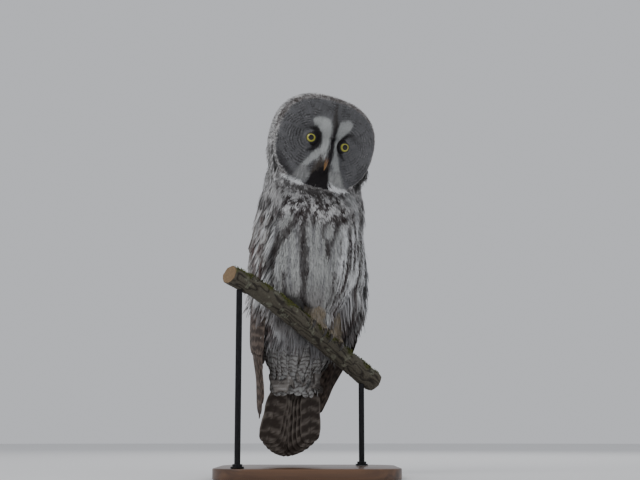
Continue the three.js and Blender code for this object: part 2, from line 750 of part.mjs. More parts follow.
function addStand(gripRoom) {
  const outline = new THREE.Shape();
  const [w, d, c] = [BASE.wide / 2, BASE.deep / 2, BASE.corner];
  outline.moveTo(-w + c, -d);
  outline.lineTo(w - c, -d);
  outline.absarc(w - c, -d + c, c, -Math.PI / 2, 0);
  outline.absarc(w - c, d - c, c, 0, Math.PI / 2);
  outline.absarc(-w + c, d - c, c, Math.PI / 2, Math.PI);
  outline.absarc(-w + c, -d + c, c, Math.PI, 1.5 * Math.PI);
  const slab = new THREE.ExtrudeGeometry(outline, {
    depth: BASE.thick - 2 * BASE.chamfer,
    bevelSize: BASE.chamfer,
    bevelThickness: BASE.chamfer,
    bevelOffset: -BASE.chamfer,
    bevelSegments: 1,
    curveSegments: 6,
  });
  slab.translate(0, 0, BASE.chamfer);
  addPart(mount, "stand_base", solidOf(slab), "wood");
  for (const [name, x] of Object.entries(ROD_X)) {
    const at = branchCurve.getPoint(branchPlace(x));
    const foot = BASE.thick + GAP;
    const rod = new THREE.CylinderGeometry(ROD_RADIUS, ROD_RADIUS, at.z - foot, 16);
    rod.rotateX(Math.PI / 2);
    rod.translate(at.x, at.y, (at.z + foot) / 2);
    const collar = new THREE.CylinderGeometry(COLLAR.radius * 0.8, COLLAR.radius, COLLAR.high, 16);
    collar.rotateX(Math.PI / 2);
    collar.translate(at.x, at.y, foot + COLLAR.high / 2);
    const held = joined([solidOf(rod), solidOf(collar)]).subtract(gripRoom);
    addPart(mount, "stand_rod_" + name, held, "steel");
  }
  addPart(mount, "perch", branchSolid(), "bark");
}

const gripRoom = branchRoom();
const legRoom = addLegs(gripRoom);
const trunk = trunkSolid().subtract(joined([legRoom, branchRoom(BRANCH_ROOM.high)]));
const body = joined([trunk.trimByPlane([0, 0, -1], -NECK_CUT), ...ventFeathers()]);
addPart(owl, "torso", body, "plumage");
addHead(trunk);
const trunkRoom = trunkSolid(GAP);
addWings(trunkRoom);
addTail(trunkRoom);
addStand(gripRoom);

export default root;
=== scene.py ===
"""The looks of a great grey owl on its perch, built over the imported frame.

Meshes are in metres with +Z up, in the frame's own axes. Named sizes are in millimetres
and angles in degrees, and MM turns millimetres into metres. The viewer looks along +Y.
"""
import math

import bpy
import numpy as np
from mathutils import Matrix, Vector
from mathutils.bvhtree import BVHTree
from mathutils.kdtree import KDTree


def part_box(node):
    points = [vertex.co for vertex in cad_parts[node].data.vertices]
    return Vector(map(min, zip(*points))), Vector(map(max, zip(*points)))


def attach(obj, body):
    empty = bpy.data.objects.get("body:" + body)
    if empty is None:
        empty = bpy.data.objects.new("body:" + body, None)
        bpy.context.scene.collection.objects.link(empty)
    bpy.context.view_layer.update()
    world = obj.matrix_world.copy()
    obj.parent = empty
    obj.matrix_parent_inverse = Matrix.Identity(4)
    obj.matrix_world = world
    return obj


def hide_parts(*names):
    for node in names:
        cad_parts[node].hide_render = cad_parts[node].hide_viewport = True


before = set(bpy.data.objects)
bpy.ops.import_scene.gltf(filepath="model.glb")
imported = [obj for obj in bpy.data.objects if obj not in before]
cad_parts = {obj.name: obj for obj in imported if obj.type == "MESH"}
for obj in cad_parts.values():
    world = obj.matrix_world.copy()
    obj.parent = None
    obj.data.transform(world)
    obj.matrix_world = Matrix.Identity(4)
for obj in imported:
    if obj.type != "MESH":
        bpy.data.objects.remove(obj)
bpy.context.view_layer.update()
MM = 0.001
rng = np.random.default_rng(4127)


def rotation(degrees, axis):
    return Matrix.Rotation(math.radians(degrees), 4, axis)


# Stance of the owl and of its head, the same as in the frame, with places in metres
OWL_PLACE = Matrix.Translation((0.0186, 0, 0)) @ rotation(28, "Z")
HEAD_PLACE = (
    OWL_PLACE @ Matrix.Translation((0.0045, -0.002, 0.588))
    @ rotation(-14, "Z") @ rotation(12, "X") @ rotation(12.8, "Y")
)

# Eyes and disc of the face, in the head's own frame
EYE_X = 30
EYE_Y = -38.5
EYE_RADIUS = 12.5
EYE_OUTWARD = 9
CORNEA_RADIUS = 8.6
CORNEA_RISE = 0.9
EYE_CLEAR = 11.5
BILL_X = 1
DISC_SIDE = 90
DISC_UP = 75.5
DISC_DOWN = 82
DISC_SQUARE = 2.5

# The body: its upright axis in the owl's frame, and the radius on which turns are unrolled
BODY_AXIS_Y = 40
BODY_ROUND = 95

# The skin's grid, and the depth of the coat over it by part
SKIN_VOXEL = 2.4
COAT_DEPTH = {"face": 1.6, "head": 4, "neck": 6, "torso": 6.5, "leg": 2, "foot": 1.2}

# Outer face of the folded wings by height: height, middle x and y, half width, half depth
WING_SHELL = [
    (85, 0, 114, 64, 22),
    (120, 0, 105, 69, 30),
    (160, 0, 90, 78, 42),
    (200, 0, 70, 93, 62),
    (240, 0, 54, 102, 78),
    (280, 0, 45, 105, 90),
    (340, 0, 40, 106, 97),
    (395, 0, 40, 104, 97),
    (440, 0, 38, 94, 94),
    (497, 0, 32, 84, 84),
]

# Lower end of the trunk, from which the tail coverts hang, listed in the same way
TRUNK_END = [
    (120, 0, 101, 46, 17),
    (150, 0, 97, 48, 19),
    (182, 0, 91, 50, 22),
    (202, 0, 85, 62, 33),
    (228, 0, 77, 74, 46),
    (262, 0, 65, 86, 66),
]
SHELL_SQUARE = 2.3

# Arm of the folded wing: height, and turns from the breast at front and back
WING_ARM = [(284, 88, 132), (330, 82, 148), (430, 80, 150), (472, 84, 142), (494, 97, 122)]
ARM_OUTER = -6.0
ARM_INNER = -16.0

# Tiers of wing feathers: turn and height at root and tip, first feather to last
WING_TIERS = [
    {
        "kind": "primary", "count": 10, "wide": 26, "lift": (-11, -5), "droop": 50,
        "root_turn": (87, 128), "root_z": (312, 334), "tip_turn": (88, 148), "tip_z": (120, 204),
    },
    {
        "kind": "secondary", "count": 9, "wide": 25, "lift": (-8, -3.4), "droop": 0,
        "root_turn": (84, 139), "root_z": (350, 374), "tip_turn": (79, 128), "tip_z": (203, 236),
    },
    {
        "kind": "covert", "count": 9, "wide": 23, "lift": (-6.5, -1), "droop": 0,
        "root_turn": (83, 141), "root_z": (404, 420), "tip_turn": (79, 138), "tip_z": (296, 316),
    },
    {
        "kind": "covert", "count": 10, "wide": 20, "lift": (-5, 0.4), "droop": 0,
        "root_turn": (82, 142), "root_z": (440, 450), "tip_turn": (78, 138), "tip_z": (350, 366),
    },
    {
        "kind": "covert", "count": 11, "wide": 18, "lift": (-4.5, 1.2), "droop": 0,
        "root_turn": (82, 142), "root_z": (464, 470), "tip_turn": (78, 140), "tip_z": (392, 402),
    },
    {
        "kind": "covert", "count": 11, "wide": 17, "lift": (-4, 1.8), "droop": 0,
        "root_turn": (86, 140), "root_z": (484, 488), "tip_turn": (80, 142), "tip_z": (428, 436),
    },
    {
        "kind": "scapular", "count": 6, "wide": 27, "lift": (-5, 2.8), "droop": 0,
        "root_turn": (112, 150), "root_z": (484, 476), "tip_turn": (118, 160), "tip_z": (404, 356),
    },
]

# Tail feathers in pairs from the middle outwards, each rank one layer in front of the last
TAIL_PAIRS = 6
TAIL_WIDE = 42
TAIL_ROOT_Y = 98
TAIL_ROOT_Z = 172
TAIL_TIP_Y = 129
TAIL_TIP_Z = 33
TAIL_ROOT_LAYER = 1.1
TAIL_TIP_LAYER = 1.3
TAIL_ROOT_SPREAD = 5
TAIL_TIP_SPREAD = 7.9
TAIL_SHORTER = 24

# Coverts below and above the root of the tail
TAIL_COVERTS = [
    {"count": 9, "wide": 19, "turn": (-68, 68), "root_z": 214, "tip_z": 142, "lift": (-5, 1.0)},
    {"count": 9, "wide": 17, "turn": (-74, 74), "root_z": 228, "tip_z": 168, "lift": (-5, 2.2)},
    {"count": 9, "wide": 16, "turn": (-80, 80), "root_z": 240, "tip_z": 190, "lift": (-4, 3.0)},
    {"count": 7, "wide": 20, "turn": (146, 214), "root_z": 224, "tip_z": 150, "lift": (-5, 1.0)},
    {"count": 7, "wide": 18, "turn": (140, 220), "root_z": 246, "tip_z": 180, "lift": (-4, 2.4)},
]

# Branch: its middle line, and its radius
BRANCH_LINE = [
    (-128, -140, 331), (-85, -96, 312), (-38, -50, 282),
    (18.6, 0, 241), (70, 46, 201), (118, 89, 166),
]
BRANCH_RADIUS = 17


# Small helpers on numbers

def tone(red, green, blue):
    """A colour read as on a screen, as linear light."""
    value = np.array([red, green, blue], float) / 255
    return np.where(value <= 0.04045, value / 12.92, ((value + 0.055) / 1.055) ** 2.4)


def smooth(value, low, high):
    t = np.clip((value - low) / (high - low), 0, 1)
    return t * t * (3 - 2 * t)


def between(value, low, high):
    return (value > low) & (value < high)


def mix(first, second, share):
    share = np.asarray(share)[..., None]
    return first * (1 - share) + second * share


def noise(x, y, z=0.0, seed=0):
    """Smooth value noise between -1 and 1, the same on every run."""
    place = np.stack(np.broadcast_arrays(x, y, z), -1).astype(float)
    cell = np.floor(place)
    part = place - cell
    part = part * part * (3 - 2 * part)
    cell = cell.astype(np.int64)
    total = 0
    for dx, dy, dz in np.ndindex(2, 2, 2):
        key = (cell[..., 0] + dx) * 374761393 + (cell[..., 1] + dy) * 668265263
        key = key + (cell[..., 2] + dz) * 1442695041 + seed * 97531
        key = (key ^ (key >> 13)) * 1274126177
        key = key ^ (key >> 16)
        value = (key & 0xFFFF) / 32767.5 - 1
        weight = (
            (part[..., 0] if dx else 1 - part[..., 0])
            * (part[..., 1] if dy else 1 - part[..., 1])
            * (part[..., 2] if dz else 1 - part[..., 2])
        )
        total = total + value * weight
    return total


def unit(vectors):
    length = np.linalg.norm(vectors, axis=-1, keepdims=True)
    return vectors / np.maximum(length, 1e-12)


def moved(points, place):
    matrix = np.array(place)
    return points @ matrix[:3, :3].T + matrix[:3, 3]


def turned(vectors, place):
    return vectors @ np.array(place)[:3, :3].T


def in_frame(points, place):
    """World points in metres, given in a frame's own millimetres."""
    return moved(points, place.inverted()) / MM


def body_turn(x, y):
    """Degrees round the body from the breast, positive to the owl's left."""
    return np.degrees(np.arctan2(x, BODY_AXIS_Y - y))


def from_eye(place):
    return np.hypot(np.abs(place[:, 0]) - EYE_X, place[:, 2])


def from_segment(x, y, start, end):
    """The nearest share along a drawn segment for each place, and the distance to it."""
    ax, ay = end[0] - start[0], end[1] - start[1]
    t = np.clip(((x - start[0]) * ax + (y - start[1]) * ay) / (ax * ax + ay * ay), 0, 1)
    return t, np.hypot(x - start[0] - ax * t, y - start[1] - ay * t)


def drawn(x, y, line, soft=2.0):
    """How much of a drawn line covers each place; the line lists x, y and half width."""
    cover = np.zeros(np.shape(x))
    for start, end in zip(line, line[1:]):
        t, away = from_segment(x, y, start, end)
        wide = start[2] + (end[2] - start[2]) * t
        cover = np.maximum(cover, np.clip((wide - away) / soft + 0.5, 0, 1))
    return cover


def outlined(x, y, outline, soft=2.0):
    """How much of a drawn closed outline covers each place, with a soft edge."""
    away = np.full(np.shape(x), 1e9)
    inside = np.zeros(np.shape(x), bool)
    for start, end in zip(outline, outline[1:] + outline[:1]):
        away = np.minimum(away, from_segment(x, y, start, end)[1])
        (x0, y0), (x1, y1) = start, end
        if y1 != y0:
            inside ^= ((y0 > y) != (y1 > y)) & (x < (x1 - x0) * (y - y0) / (y1 - y0) + x0)
    return smooth(np.where(inside, away, -away), -soft / 2, soft / 2)


# Objects and meshes

def choose(*objects):
    bpy.ops.object.select_all(action="DESELECT")
    for thing in objects:
        thing.select_set(True)
    bpy.context.view_layer.objects.active = objects[0]


def joined(*objects):
    choose(*objects)
    if len(objects) > 1:
        bpy.ops.object.join()
    return bpy.context.view_layer.objects.active


def apply_modifier(thing, name, kind, **settings):
    modifier = thing.modifiers.new(name, kind)
    for key, value in settings.items():
        setattr(modifier, key, value)
    choose(thing)
    bpy.ops.object.modifier_apply(modifier=name)


def named(thing, title):
    thing.name = title
    thing.data.name = title
    return thing


def place_in_scene(title, data):
    thing = bpy.data.objects.new(title, data)
    bpy.context.scene.collection.objects.link(thing)
    return thing


def finish_piece(thing, material, replaces=()):
    thing.data.materials.clear()
    thing.data.materials.append(material)
    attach(thing, "root")
    if replaces:
        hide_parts(*replaces)


def shade_smooth(thing):
    thing.data.polygons.foreach_set("use_smooth", np.ones(len(thing.data.polygons), bool))


def closed_over(thing, voxel, rounds):
    """One closed surface over a mesh, with its seams and facets smoothed out."""
    apply_modifier(thing, "closed", "REMESH", mode="VOXEL", voxel_size=voxel * MM)
    apply_modifier(thing, "softened", "SMOOTH", factor=0.5, iterations=rounds)
    shade_smooth(thing)
    return thing


def smooth_copy(nodes, title, voxel, rounds):
    """Copies CAD nodes into one new closed surface."""
    copies = [place_in_scene(title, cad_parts[node].data.copy()) for node in nodes]
    thing = named(joined(*copies), title)
    bpy.ops.object.mode_set(mode="EDIT")
    bpy.ops.mesh.select_all(action="SELECT")
    bpy.ops.mesh.remove_doubles(threshold=0.01 * MM)
    bpy.ops.object.mode_set(mode="OBJECT")
    return closed_over(thing, voxel, rounds)


def read_numbers(layer, key, count, kind=float):
    """Reads a number, or several, of each item of a mesh layer, in rows of the given count."""
    numbers = np.empty(len(layer) * count, kind)
    layer.foreach_get(key, numbers)
    return numbers.reshape(-1, count)


def points_of(thing):
    return read_numbers(thing.data.vertices, "co", 3)


def normals_of(thing):
    return read_numbers(thing.data.vertex_normals, "vector", 3)


def triangles_of(thing):
    thing.data.calc_loop_triangles()
    return read_numbers(thing.data.loop_triangles, "vertices", 3, np.int32)


def set_points(thing, points):
    thing.data.vertices.foreach_set("co", points.ravel())
    thing.data.update()


def add_vectors(mesh, name, vectors):
    layer = mesh.attributes.new(name, "FLOAT_VECTOR", "POINT")
    layer.data.foreach_set("vector", vectors.astype(np.float32).ravel())


def add_tint(mesh, tint):
    layer = mesh.attributes.new("Tint", "FLOAT_COLOR", "POINT")
    colour = np.ones((len(mesh.vertices), 4), np.float32)
    colour[:, :3] = np.clip(tint, 0, 1)
    layer.data.foreach_set("color", colour.ravel())


def mesh_object(title, points, quads):
    mesh = bpy.data.meshes.new(title)
    mesh.vertices.add(len(points))
    mesh.vertices.foreach_set("co", points.astype(np.float32).ravel())
    mesh.loops.add(quads.size)
    mesh.loops.foreach_set("vertex_index", quads.astype(np.int32).ravel())
    mesh.polygons.add(len(quads))
    starts = np.arange(0, quads.size, quads.shape[1], dtype=np.int32)
    mesh.polygons.foreach_set("loop_start", starts)
    mesh.update(calc_edges=True)
    thing = place_in_scene(title, mesh)
    shade_smooth(thing)
    return thing


def plumage_object(title, points, quads, tint, vane, bake):
    """Feathers from arrays: their colours, places on each vane, and map for baking."""
    thing = mesh_object(title, points, quads)
    add_tint(thing.data, tint)
    add_vectors(thing.data, "Vane", vane)
    layer = thing.data.uv_layers.new(name="OFBake")
    layer.data.foreach_set("uv", bake[quads.ravel()].astype(np.float32).ravel())
    return thing


# Shader groups and materials

def add_node(tree, kind, inputs, **settings):
    """Adds a shader node with its settings, and gives each input a value or a link."""
    node = tree.nodes.new("ShaderNode" + kind)
    for key, value in settings.items():
        setattr(node, key, value)
    for key, value in inputs.items():
        if isinstance(value, bpy.types.NodeSocket):
            tree.links.new(value, node.inputs[key])
        else:
            node.inputs[key].default_value = value
    return node.outputs


def maths(tree, operation, *values):
    return add_node(tree, "Math", dict(enumerate(values)), operation=operation)[0]


def attribute(tree, name):
    return add_node(tree, "Attribute", {}, attribute_name=name)


def blended(tree, share, first, second, way="MIX"):
    """Mixes two colours by a share. A colour node numbers its colours 6 and 7, and puts out 2."""
    inputs = {"Factor": share, 6: first, 7: second}
    return add_node(tree, "Mix", inputs, data_type="RGBA", blend_type=way)[2]


def new_group(title, inputs):
    """A group with named inputs that puts out a colour and a normal."""
    group = bpy.data.node_groups.new(title, "ShaderNodeTree")
    for name, kind in inputs.items():
        group.interface.new_socket(name=name, in_out="INPUT", socket_type="NodeSocket" + kind)
    group.interface.new_socket(name="Colour", in_out="OUTPUT", socket_type="NodeSocketColor")
    group.interface.new_socket(name="Normal", in_out="OUTPUT", socket_type="NodeSocketVector")
    return group, group.nodes.new("NodeGroupInput").outputs


def end_group(group, colour, normal):
    leave = group.nodes.new("NodeGroupOutput")
    group.links.new(colour, leave.inputs["Colour"])
    group.links.new(normal, leave.inputs["Normal"])
    return group


def barbs_group():
    """Fine barbs that run out and forward from a feather's shaft, for colour and for relief."""
    group, entry = new_group("feather_barbs", {"Colour": "Color", "Contrast": "Float", "Relief": "Float"})
    aside, along, seed = add_node(group, "SeparateXYZ", {0: attribute(group, "Vane")["Vector"]})
    across = maths(group, "ABSOLUTE", aside)
    slant = maths(group, "SUBTRACT", along, maths(group, "MULTIPLY", across, 0.9))
    wave = maths(group, "SINE", maths(group, "MULTIPLY", slant, 5.2))
    length = maths(group, "MULTIPLY", slant, 0.9)
    place = add_node(group, "CombineXYZ", {0: length, 1: maths(group, "MULTIPLY", aside, 0.35), 2: seed})
    grain = add_node(group, "TexNoise", {"Vector": place[0], "Scale": 1.0, "Detail": 3.0})
    spread = maths(group, "SUBTRACT", grain[0], 0.5)
    fine = maths(group, "ADD", spread, maths(group, "MULTIPLY", wave, 0.12))
    gain = maths(group, "ADD", maths(group, "MULTIPLY", fine, entry["Contrast"]), 1.0)
    colour = add_node(group, "VectorMath", {0: entry["Colour"], "Scale": gain}, operation="SCALE")
    height = maths(group, "ADD", fine, maths(group, "MULTIPLY", wave, 0.3))
    bump = add_node(group, "Bump", {"Distance": 0.4 * MM, "Strength": entry["Relief"], "Height": height})
    return end_group(group, colour[0], bump[0])


def grain_group():
    """Uneven colour and relief for wood, bark, horn and metal, stretched along one axis."""
    group, entry = new_group("surface_grain", {
        "Light": "Color", "Dark": "Color", "Stretch": "Vector", "Scale": "Float", "Relief": "Float",
        "Depth": "Float",
    })
    place = add_node(group, "TexCoord", {})["Object"]
    stretched = add_node(group, "VectorMath", {0: place, 1: entry["Stretch"]}, operation="MULTIPLY")
    coarse = add_node(group, "TexNoise", {
        "Vector": stretched[0], "Scale": entry["Scale"], "Detail": 6.0, "Distortion": 0.6,
    })
    share = add_node(group, "MapRange", {"Value": coarse[0], "From Min": 0.34, "From Max": 0.66})[0]
    bump = add_node(group, "Bump", {
        "Distance": entry["Depth"], "Strength": entry["Relief"], "Height": share,
    })
    return end_group(group, blended(group, share, entry["Light"], entry["Dark"]), bump[0])


BARBS = barbs_group()
GRAIN = grain_group()


def new_material(title, values):
    material = bpy.data.materials.new(title)
    material.use_nodes = True
    shader = material.node_tree.nodes["Principled BSDF"].inputs
    for key, value in values.items():
        shader[key].default_value = value
    return material, material.node_tree, shader


def group_into(tree, shader, group, inputs, tint=None):
    """Feeds a group's colour and normal to the shader, with the colour laid over a tint."""
    made = add_node(tree, "Group", inputs, node_tree=group)
    colour = made["Colour"]
    if tint is not None:
        colour = blended(tree, 1.0, tint, colour, "MULTIPLY")
    tree.links.new(colour, shader["Base Color"])
    tree.links.new(made["Normal"], shader["Normal"])


def plumage_material(title, contrast, relief, roughness):
    """Feathers: the tint painted on the mesh, broken up by fine barbs."""
    material, tree, shader = new_material(title, {"Roughness": roughness, "Specular IOR Level": 0.25})
    tint = attribute(tree, "Tint")["Color"]
    group_into(tree, shader, BARBS, {"Colour": tint, "Contrast": contrast, "Relief": relief})
    return material


def tinted_material(title, roughness, scale, relief, depth, coat=0.0):
    """A painted tint under fine grain: for skin, bark, bill and claws."""
    material, tree, shader = new_material(title, {"Roughness": roughness, "Coat Weight": coat})
    group_into(tree, shader, GRAIN, {
        "Light": (1.12, 1.12, 1.12, 1), "Dark": (0.82, 0.82, 0.82, 1), "Stretch": (1, 1, 1),
        "Scale": scale, "Relief": relief, "Depth": depth * MM,
    }, attribute(tree, "Tint")["Color"])
    return material


def wood_material():
    material, tree, shader = new_material("dark_wood", {"Roughness": 0.42, "Coat Weight": 0.25})
    group_into(tree, shader, GRAIN, {
        "Light": (*tone(104, 72, 48), 1), "Dark": (*tone(58, 38, 26), 1), "Stretch": (0.16, 2.2, 2.2),
        "Scale": 26, "Relief": 0.12, "Depth": 0.4 * MM,
    })
    return material


def steel_material():
    material, tree, shader = new_material("black_steel", {"Roughness": 0.38, "Metallic": 0.85})
    group_into(tree, shader, GRAIN, {
        "Light": (*tone(44, 44, 46), 1), "Dark": (*tone(30, 30, 32), 1), "Stretch": (1, 1, 0.15),
        "Scale": 700, "Relief": 0.08, "Depth": 0.2 * MM,
    })
    return material


def eye_material():
    """Wet eye: black pupil, yellow iris with fine spokes, and a dark ring at its edge."""
    material, tree, shader = new_material("owl_eye", {
        "Roughness": 0.07, "Coat Weight": 0.25, "Coat Roughness": 0.02, "Specular IOR Level": 0.35,
    })
    x, y, behind = add_node(tree, "SeparateXYZ", {0: attribute(tree, "Iris")["Vector"]})
    squares = maths(tree, "ADD", maths(tree, "POWER", x, 2.0), maths(tree, "POWER", y, 2.0))
    away = maths(tree, "ADD", maths(tree, "SQRT", squares), maths(tree, "MULTIPLY", behind, 20.0))
    around = maths(tree, "MULTIPLY", maths(tree, "ARCTAN2", y, x), 9.0)
    spokes = add_node(tree, "CombineXYZ", {0: around, 1: maths(tree, "MULTIPLY", away, 0.5)})
    fibre = add_node(tree, "TexNoise", {"Vector": spokes[0], "Scale": 1.6})
    yellow = blended(tree, fibre[0], (*tone(196, 193, 88), 1), (*tone(148, 142, 50), 1))
    edge = tree.nodes.new("ShaderNodeValToRGB")
    stops = edge.color_ramp.elements
    stops[0].position = 0.56
    stops[1].position = 0.61
    stops.new(0.86)
    stops.new(0.97)
    for stop, level in zip(stops, (0, 1, 1, 0)):
        stop.color = (level, level, level, 1)
    tree.links.new(maths(tree, "DIVIDE", away, 8.4), edge.inputs["Fac"])
    colour = blended(tree, edge.outputs["Color"], (0.006, 0.005, 0.005, 1), yellow)
    tree.links.new(colour, shader["Base Color"])
    return material


# The finishes of the coat and of the moss
LOOKS = {
    "soft": plumage_material("soft_plumage", 0.25, 0.15, 0.9),
    "vane": plumage_material("vaned_plumage", 0.4, 0.35, 0.82),
    "flight": plumage_material("flight_plumage", 0.35, 0.5, 0.7),
    "moss": plumage_material("branch_moss", 0.3, 0.2, 0.95),
}


# Colours of the plumage

DISC_GREY = tone(105, 105, 107)
DISC_RING = tone(56, 54, 55)
WHITE = tone(242, 243, 244)
BROW_GREY = tone(176, 178, 177)
CHIN = tone(36, 33, 35)
BILL_BRISTLE = tone(92, 82, 74)
MIDLINE = tone(72, 68, 66)
RIM_BROWN = tone(58, 48, 44)
CROWN_PALE = tone(214, 213, 212)
CROWN_DARK = tone(60, 56, 55)
BELLY_PALE = tone(184, 185, 183)
BELLY_GREY = tone(150, 150, 151)
STREAK = tone(72, 61, 60)
MOTTLE_PALE = tone(230, 229, 229)
FLANK_BROWN = tone(112, 96, 92)
BACK_GREY = tone(142, 137, 132)
BACK_DARK = tone(66, 59, 56)
VANE_DARK = tone(62, 53, 48)
VANE_PALE = tone(118, 104, 94)
TAIL_DARK = tone(58, 50, 45)
TAIL_PALE = tone(138, 130, 122)
FOOT_CREAM = tone(138, 127, 110)

# Drawn patches of the face, for the owl's right at -1 and its left at 1
BROWS = {
    -1: [
        (-36, 30), (-30, 21), (-22, 17), (-16, 9), (-14, 1), (-15, -9), (-21, -19), (-27, -29),
        (-33, -40), (-34, -45), (-26, -45), (-20, -37), (-13, -28), (-7, -20), (-1, -11), (0, -2),
        (-2, 10), (-4, 26), (-9, 35), (-17, 38), (-28, 35),
    ],
    1: [
        (14, 35), (11, 27), (8, 20), (6, 10), (6, 0), (8, -10), (12, -21), (16, -31), (24, -43),
        (34, -40), (29, -27), (23.5, -16), (21, -6), (21, 1), (23, 11), (29, 21), (35, 30),
        (36, 39), (31, 44), (21, 41),
    ],
}
CHEEKS = {
    -1: [(-33, -42), (-41, -56), (-42, -68), (-33, -74), (-21, -71), (-17, -57), (-25, -47)],
    1: [(15, -46), (20, -66), (36, -71), (50, -67), (44, -56), (35, -42), (26, -38)],
}
CHEEK_LIGHT = {-1: 0.8, 1: 1.0}
MOUSTACHES = {
    -1: [
        (-72, -66), (-52, -71), (-37, -73), (-22, -74), (-20, -80), (-36, -82), (-52, -80),
        (-71, -73),
    ],
    1: [(20, -64), (33, -69), (48, -69), (73, -68), (75, -73), (57, -79), (38, -82), (25, -77)],
}
EYE_PATCHES = {
    -1: [
        (-35, 15, 1.5), (-27.5, 15, 5), (-20, 8.5, 5), (-17.5, 0, 5), (-19, -10, 4.6),
        (-25, -17, 3.4), (-31, -21, 1.5),
    ],
    1: [
        (40, 22, 0.6), (32, 18.5, 2.2), (26, 12, 3), (23.5, 3, 2.8), (24, -6, 2.6),
        (29, -14, 2.2), (35, -19, 1),
    ],
}
EYE_SHADES = {-1: [(-38, 15, 4), (-27, 19, 3)], 1: [(44, 17, 3), (33, 22, 3)]}
MID_BAND = [
    (0, 62, 2.5), (1, 46, 4.8), (3.4, 30, 6.4), (2, 11, 5.6), (3.5, -2, 5), (5, -10, 5),
    (8, -20, 7),
]
BILL_AREA = [(4, -14, 5), (1, -25, 9), (-2, -38, 13), (-3, -52, 13)]
CHIN_AREA = [
    (-21, -84), (-15, -64), (-10, -50), (-7, -36), (10, -34), (15, -44), (18, -52), (22, -68),
    (21, -84), (-6, -88),
]
LOWER_RIM = [(-44, -66, 3), (-56, -60, 6), (-66, -51, 6), (-76, -38, 3)]
BRISTLED = [(0, -10, 6), (0, -40, 14), (0, -80, 20)]
RING_GAP = 4.5

# Streaks of breast and belly: turn from the breast, height, half width
STREAKS = [
    [(-31, 452, 4), (-33, 425, 6.6), (-32, 363, 7), (-34, 300, 5)],
    [(-36, 462, 4), (-40, 446, 7), (-46, 432, 8), (-54, 415, 8.5), (-62, 394, 8), (-66, 366, 5)],
    [(-62, 470, 3), (-70, 450, 4), (-79, 424, 3)],
    [(6, 446, 3.5), (3, 424, 5.5), (-1, 402, 3.5)],
    [(-6, 408, 5), (-6, 384, 5)],
    [(-11, 436, 4), (-12, 415, 3.5)],
    [(-20, 452, 3), (-22, 436, 3.5)],
    [(20, 440, 3), (24, 400, 3.6), (25, 360, 2.6)],
    [(36, 330, 3), (40, 296, 4), (42, 262, 3)],
    [(-52, 352, 3), (-54, 316, 3.6), (-55, 284, 2.6)],
    [(4, 352, 3), (5, 318, 3.4), (5, 286, 2.6)],
]
CREAM_PATCH = [(-60, 286, 7), (-44, 264, 11), (-14, 258, 8)]
PLAIN_SHOULDER = [(-78, 446, 9), (-88, 428, 8)]

# Bars of the flight feathers by kind: dark, pale, distance from bar to bar, strength
VANE_MARKS = {
    "primary": (VANE_DARK, VANE_PALE, 17, 0.72),
    "secondary": (VANE_DARK, VANE_PALE, 15, 0.66),
    "covert": (BACK_DARK, BACK_GREY * 1.15, 9, 0.3),
    "scapular": (BACK_DARK, BACK_GREY * 1.1, 10, 0.35),
    "tail": (TAIL_DARK, TAIL_PALE, 21, 0.4),
    "vent": (STREAK, BELLY_PALE * 0.9, 8.5, 0.45),
}


# Markings of the plumage: place and root are in the head's millimetres, points and roots in metres

def disc_share(place):
    """How far out a place of the face lies: 0 in the middle and 1 at the disc's rim."""
    x, z = place[:, 0], place[:, 2]
    high = np.where(z > 0, DISC_UP, DISC_DOWN)
    power = np.abs(x / DISC_SIDE) ** DISC_SQUARE + np.abs(z / high) ** DISC_SQUARE
    return power ** (1 / DISC_SQUARE)


def ringed(place):
    """The grey of the disc with its fine rings round each eye."""
    x, z = place[:, 0], place[:, 2]
    away = from_eye(place)
    angle = np.arctan2(z, np.abs(x) - EYE_X)
    wobble = 2.4 * noise(x / 17, z / 17, seed=3) + 0.9 * noise(x / 5, z / 5, seed=4)
    ring = np.sin((away + wobble) * 2 * math.pi / RING_GAP)
    clear = smooth(noise(x / 7, z / 7, seed=5), -0.6, 0.35) * (0.7 + 0.3 * smooth(-x, -30, 40))
    clear = clear * smooth(away, 13, 24)
    colour = mix(DISC_GREY, DISC_RING, 0.95 * smooth(ring, -0.1, 0.85) * clear)
    pale = smooth(-ring, 0.35, 1) * smooth(noise(x / 5, z / 5, seed=6), -0.1, 0.6) * clear
    colour = mix(colour, BELLY_GREY, 0.75 * pale)
    spoke = noise(angle * 17, away / 9, seed=7)
    return colour * (1 + 0.13 * spoke)[:, None] * (1 - 0.14 * smooth(z, 30, 60))[:, None]


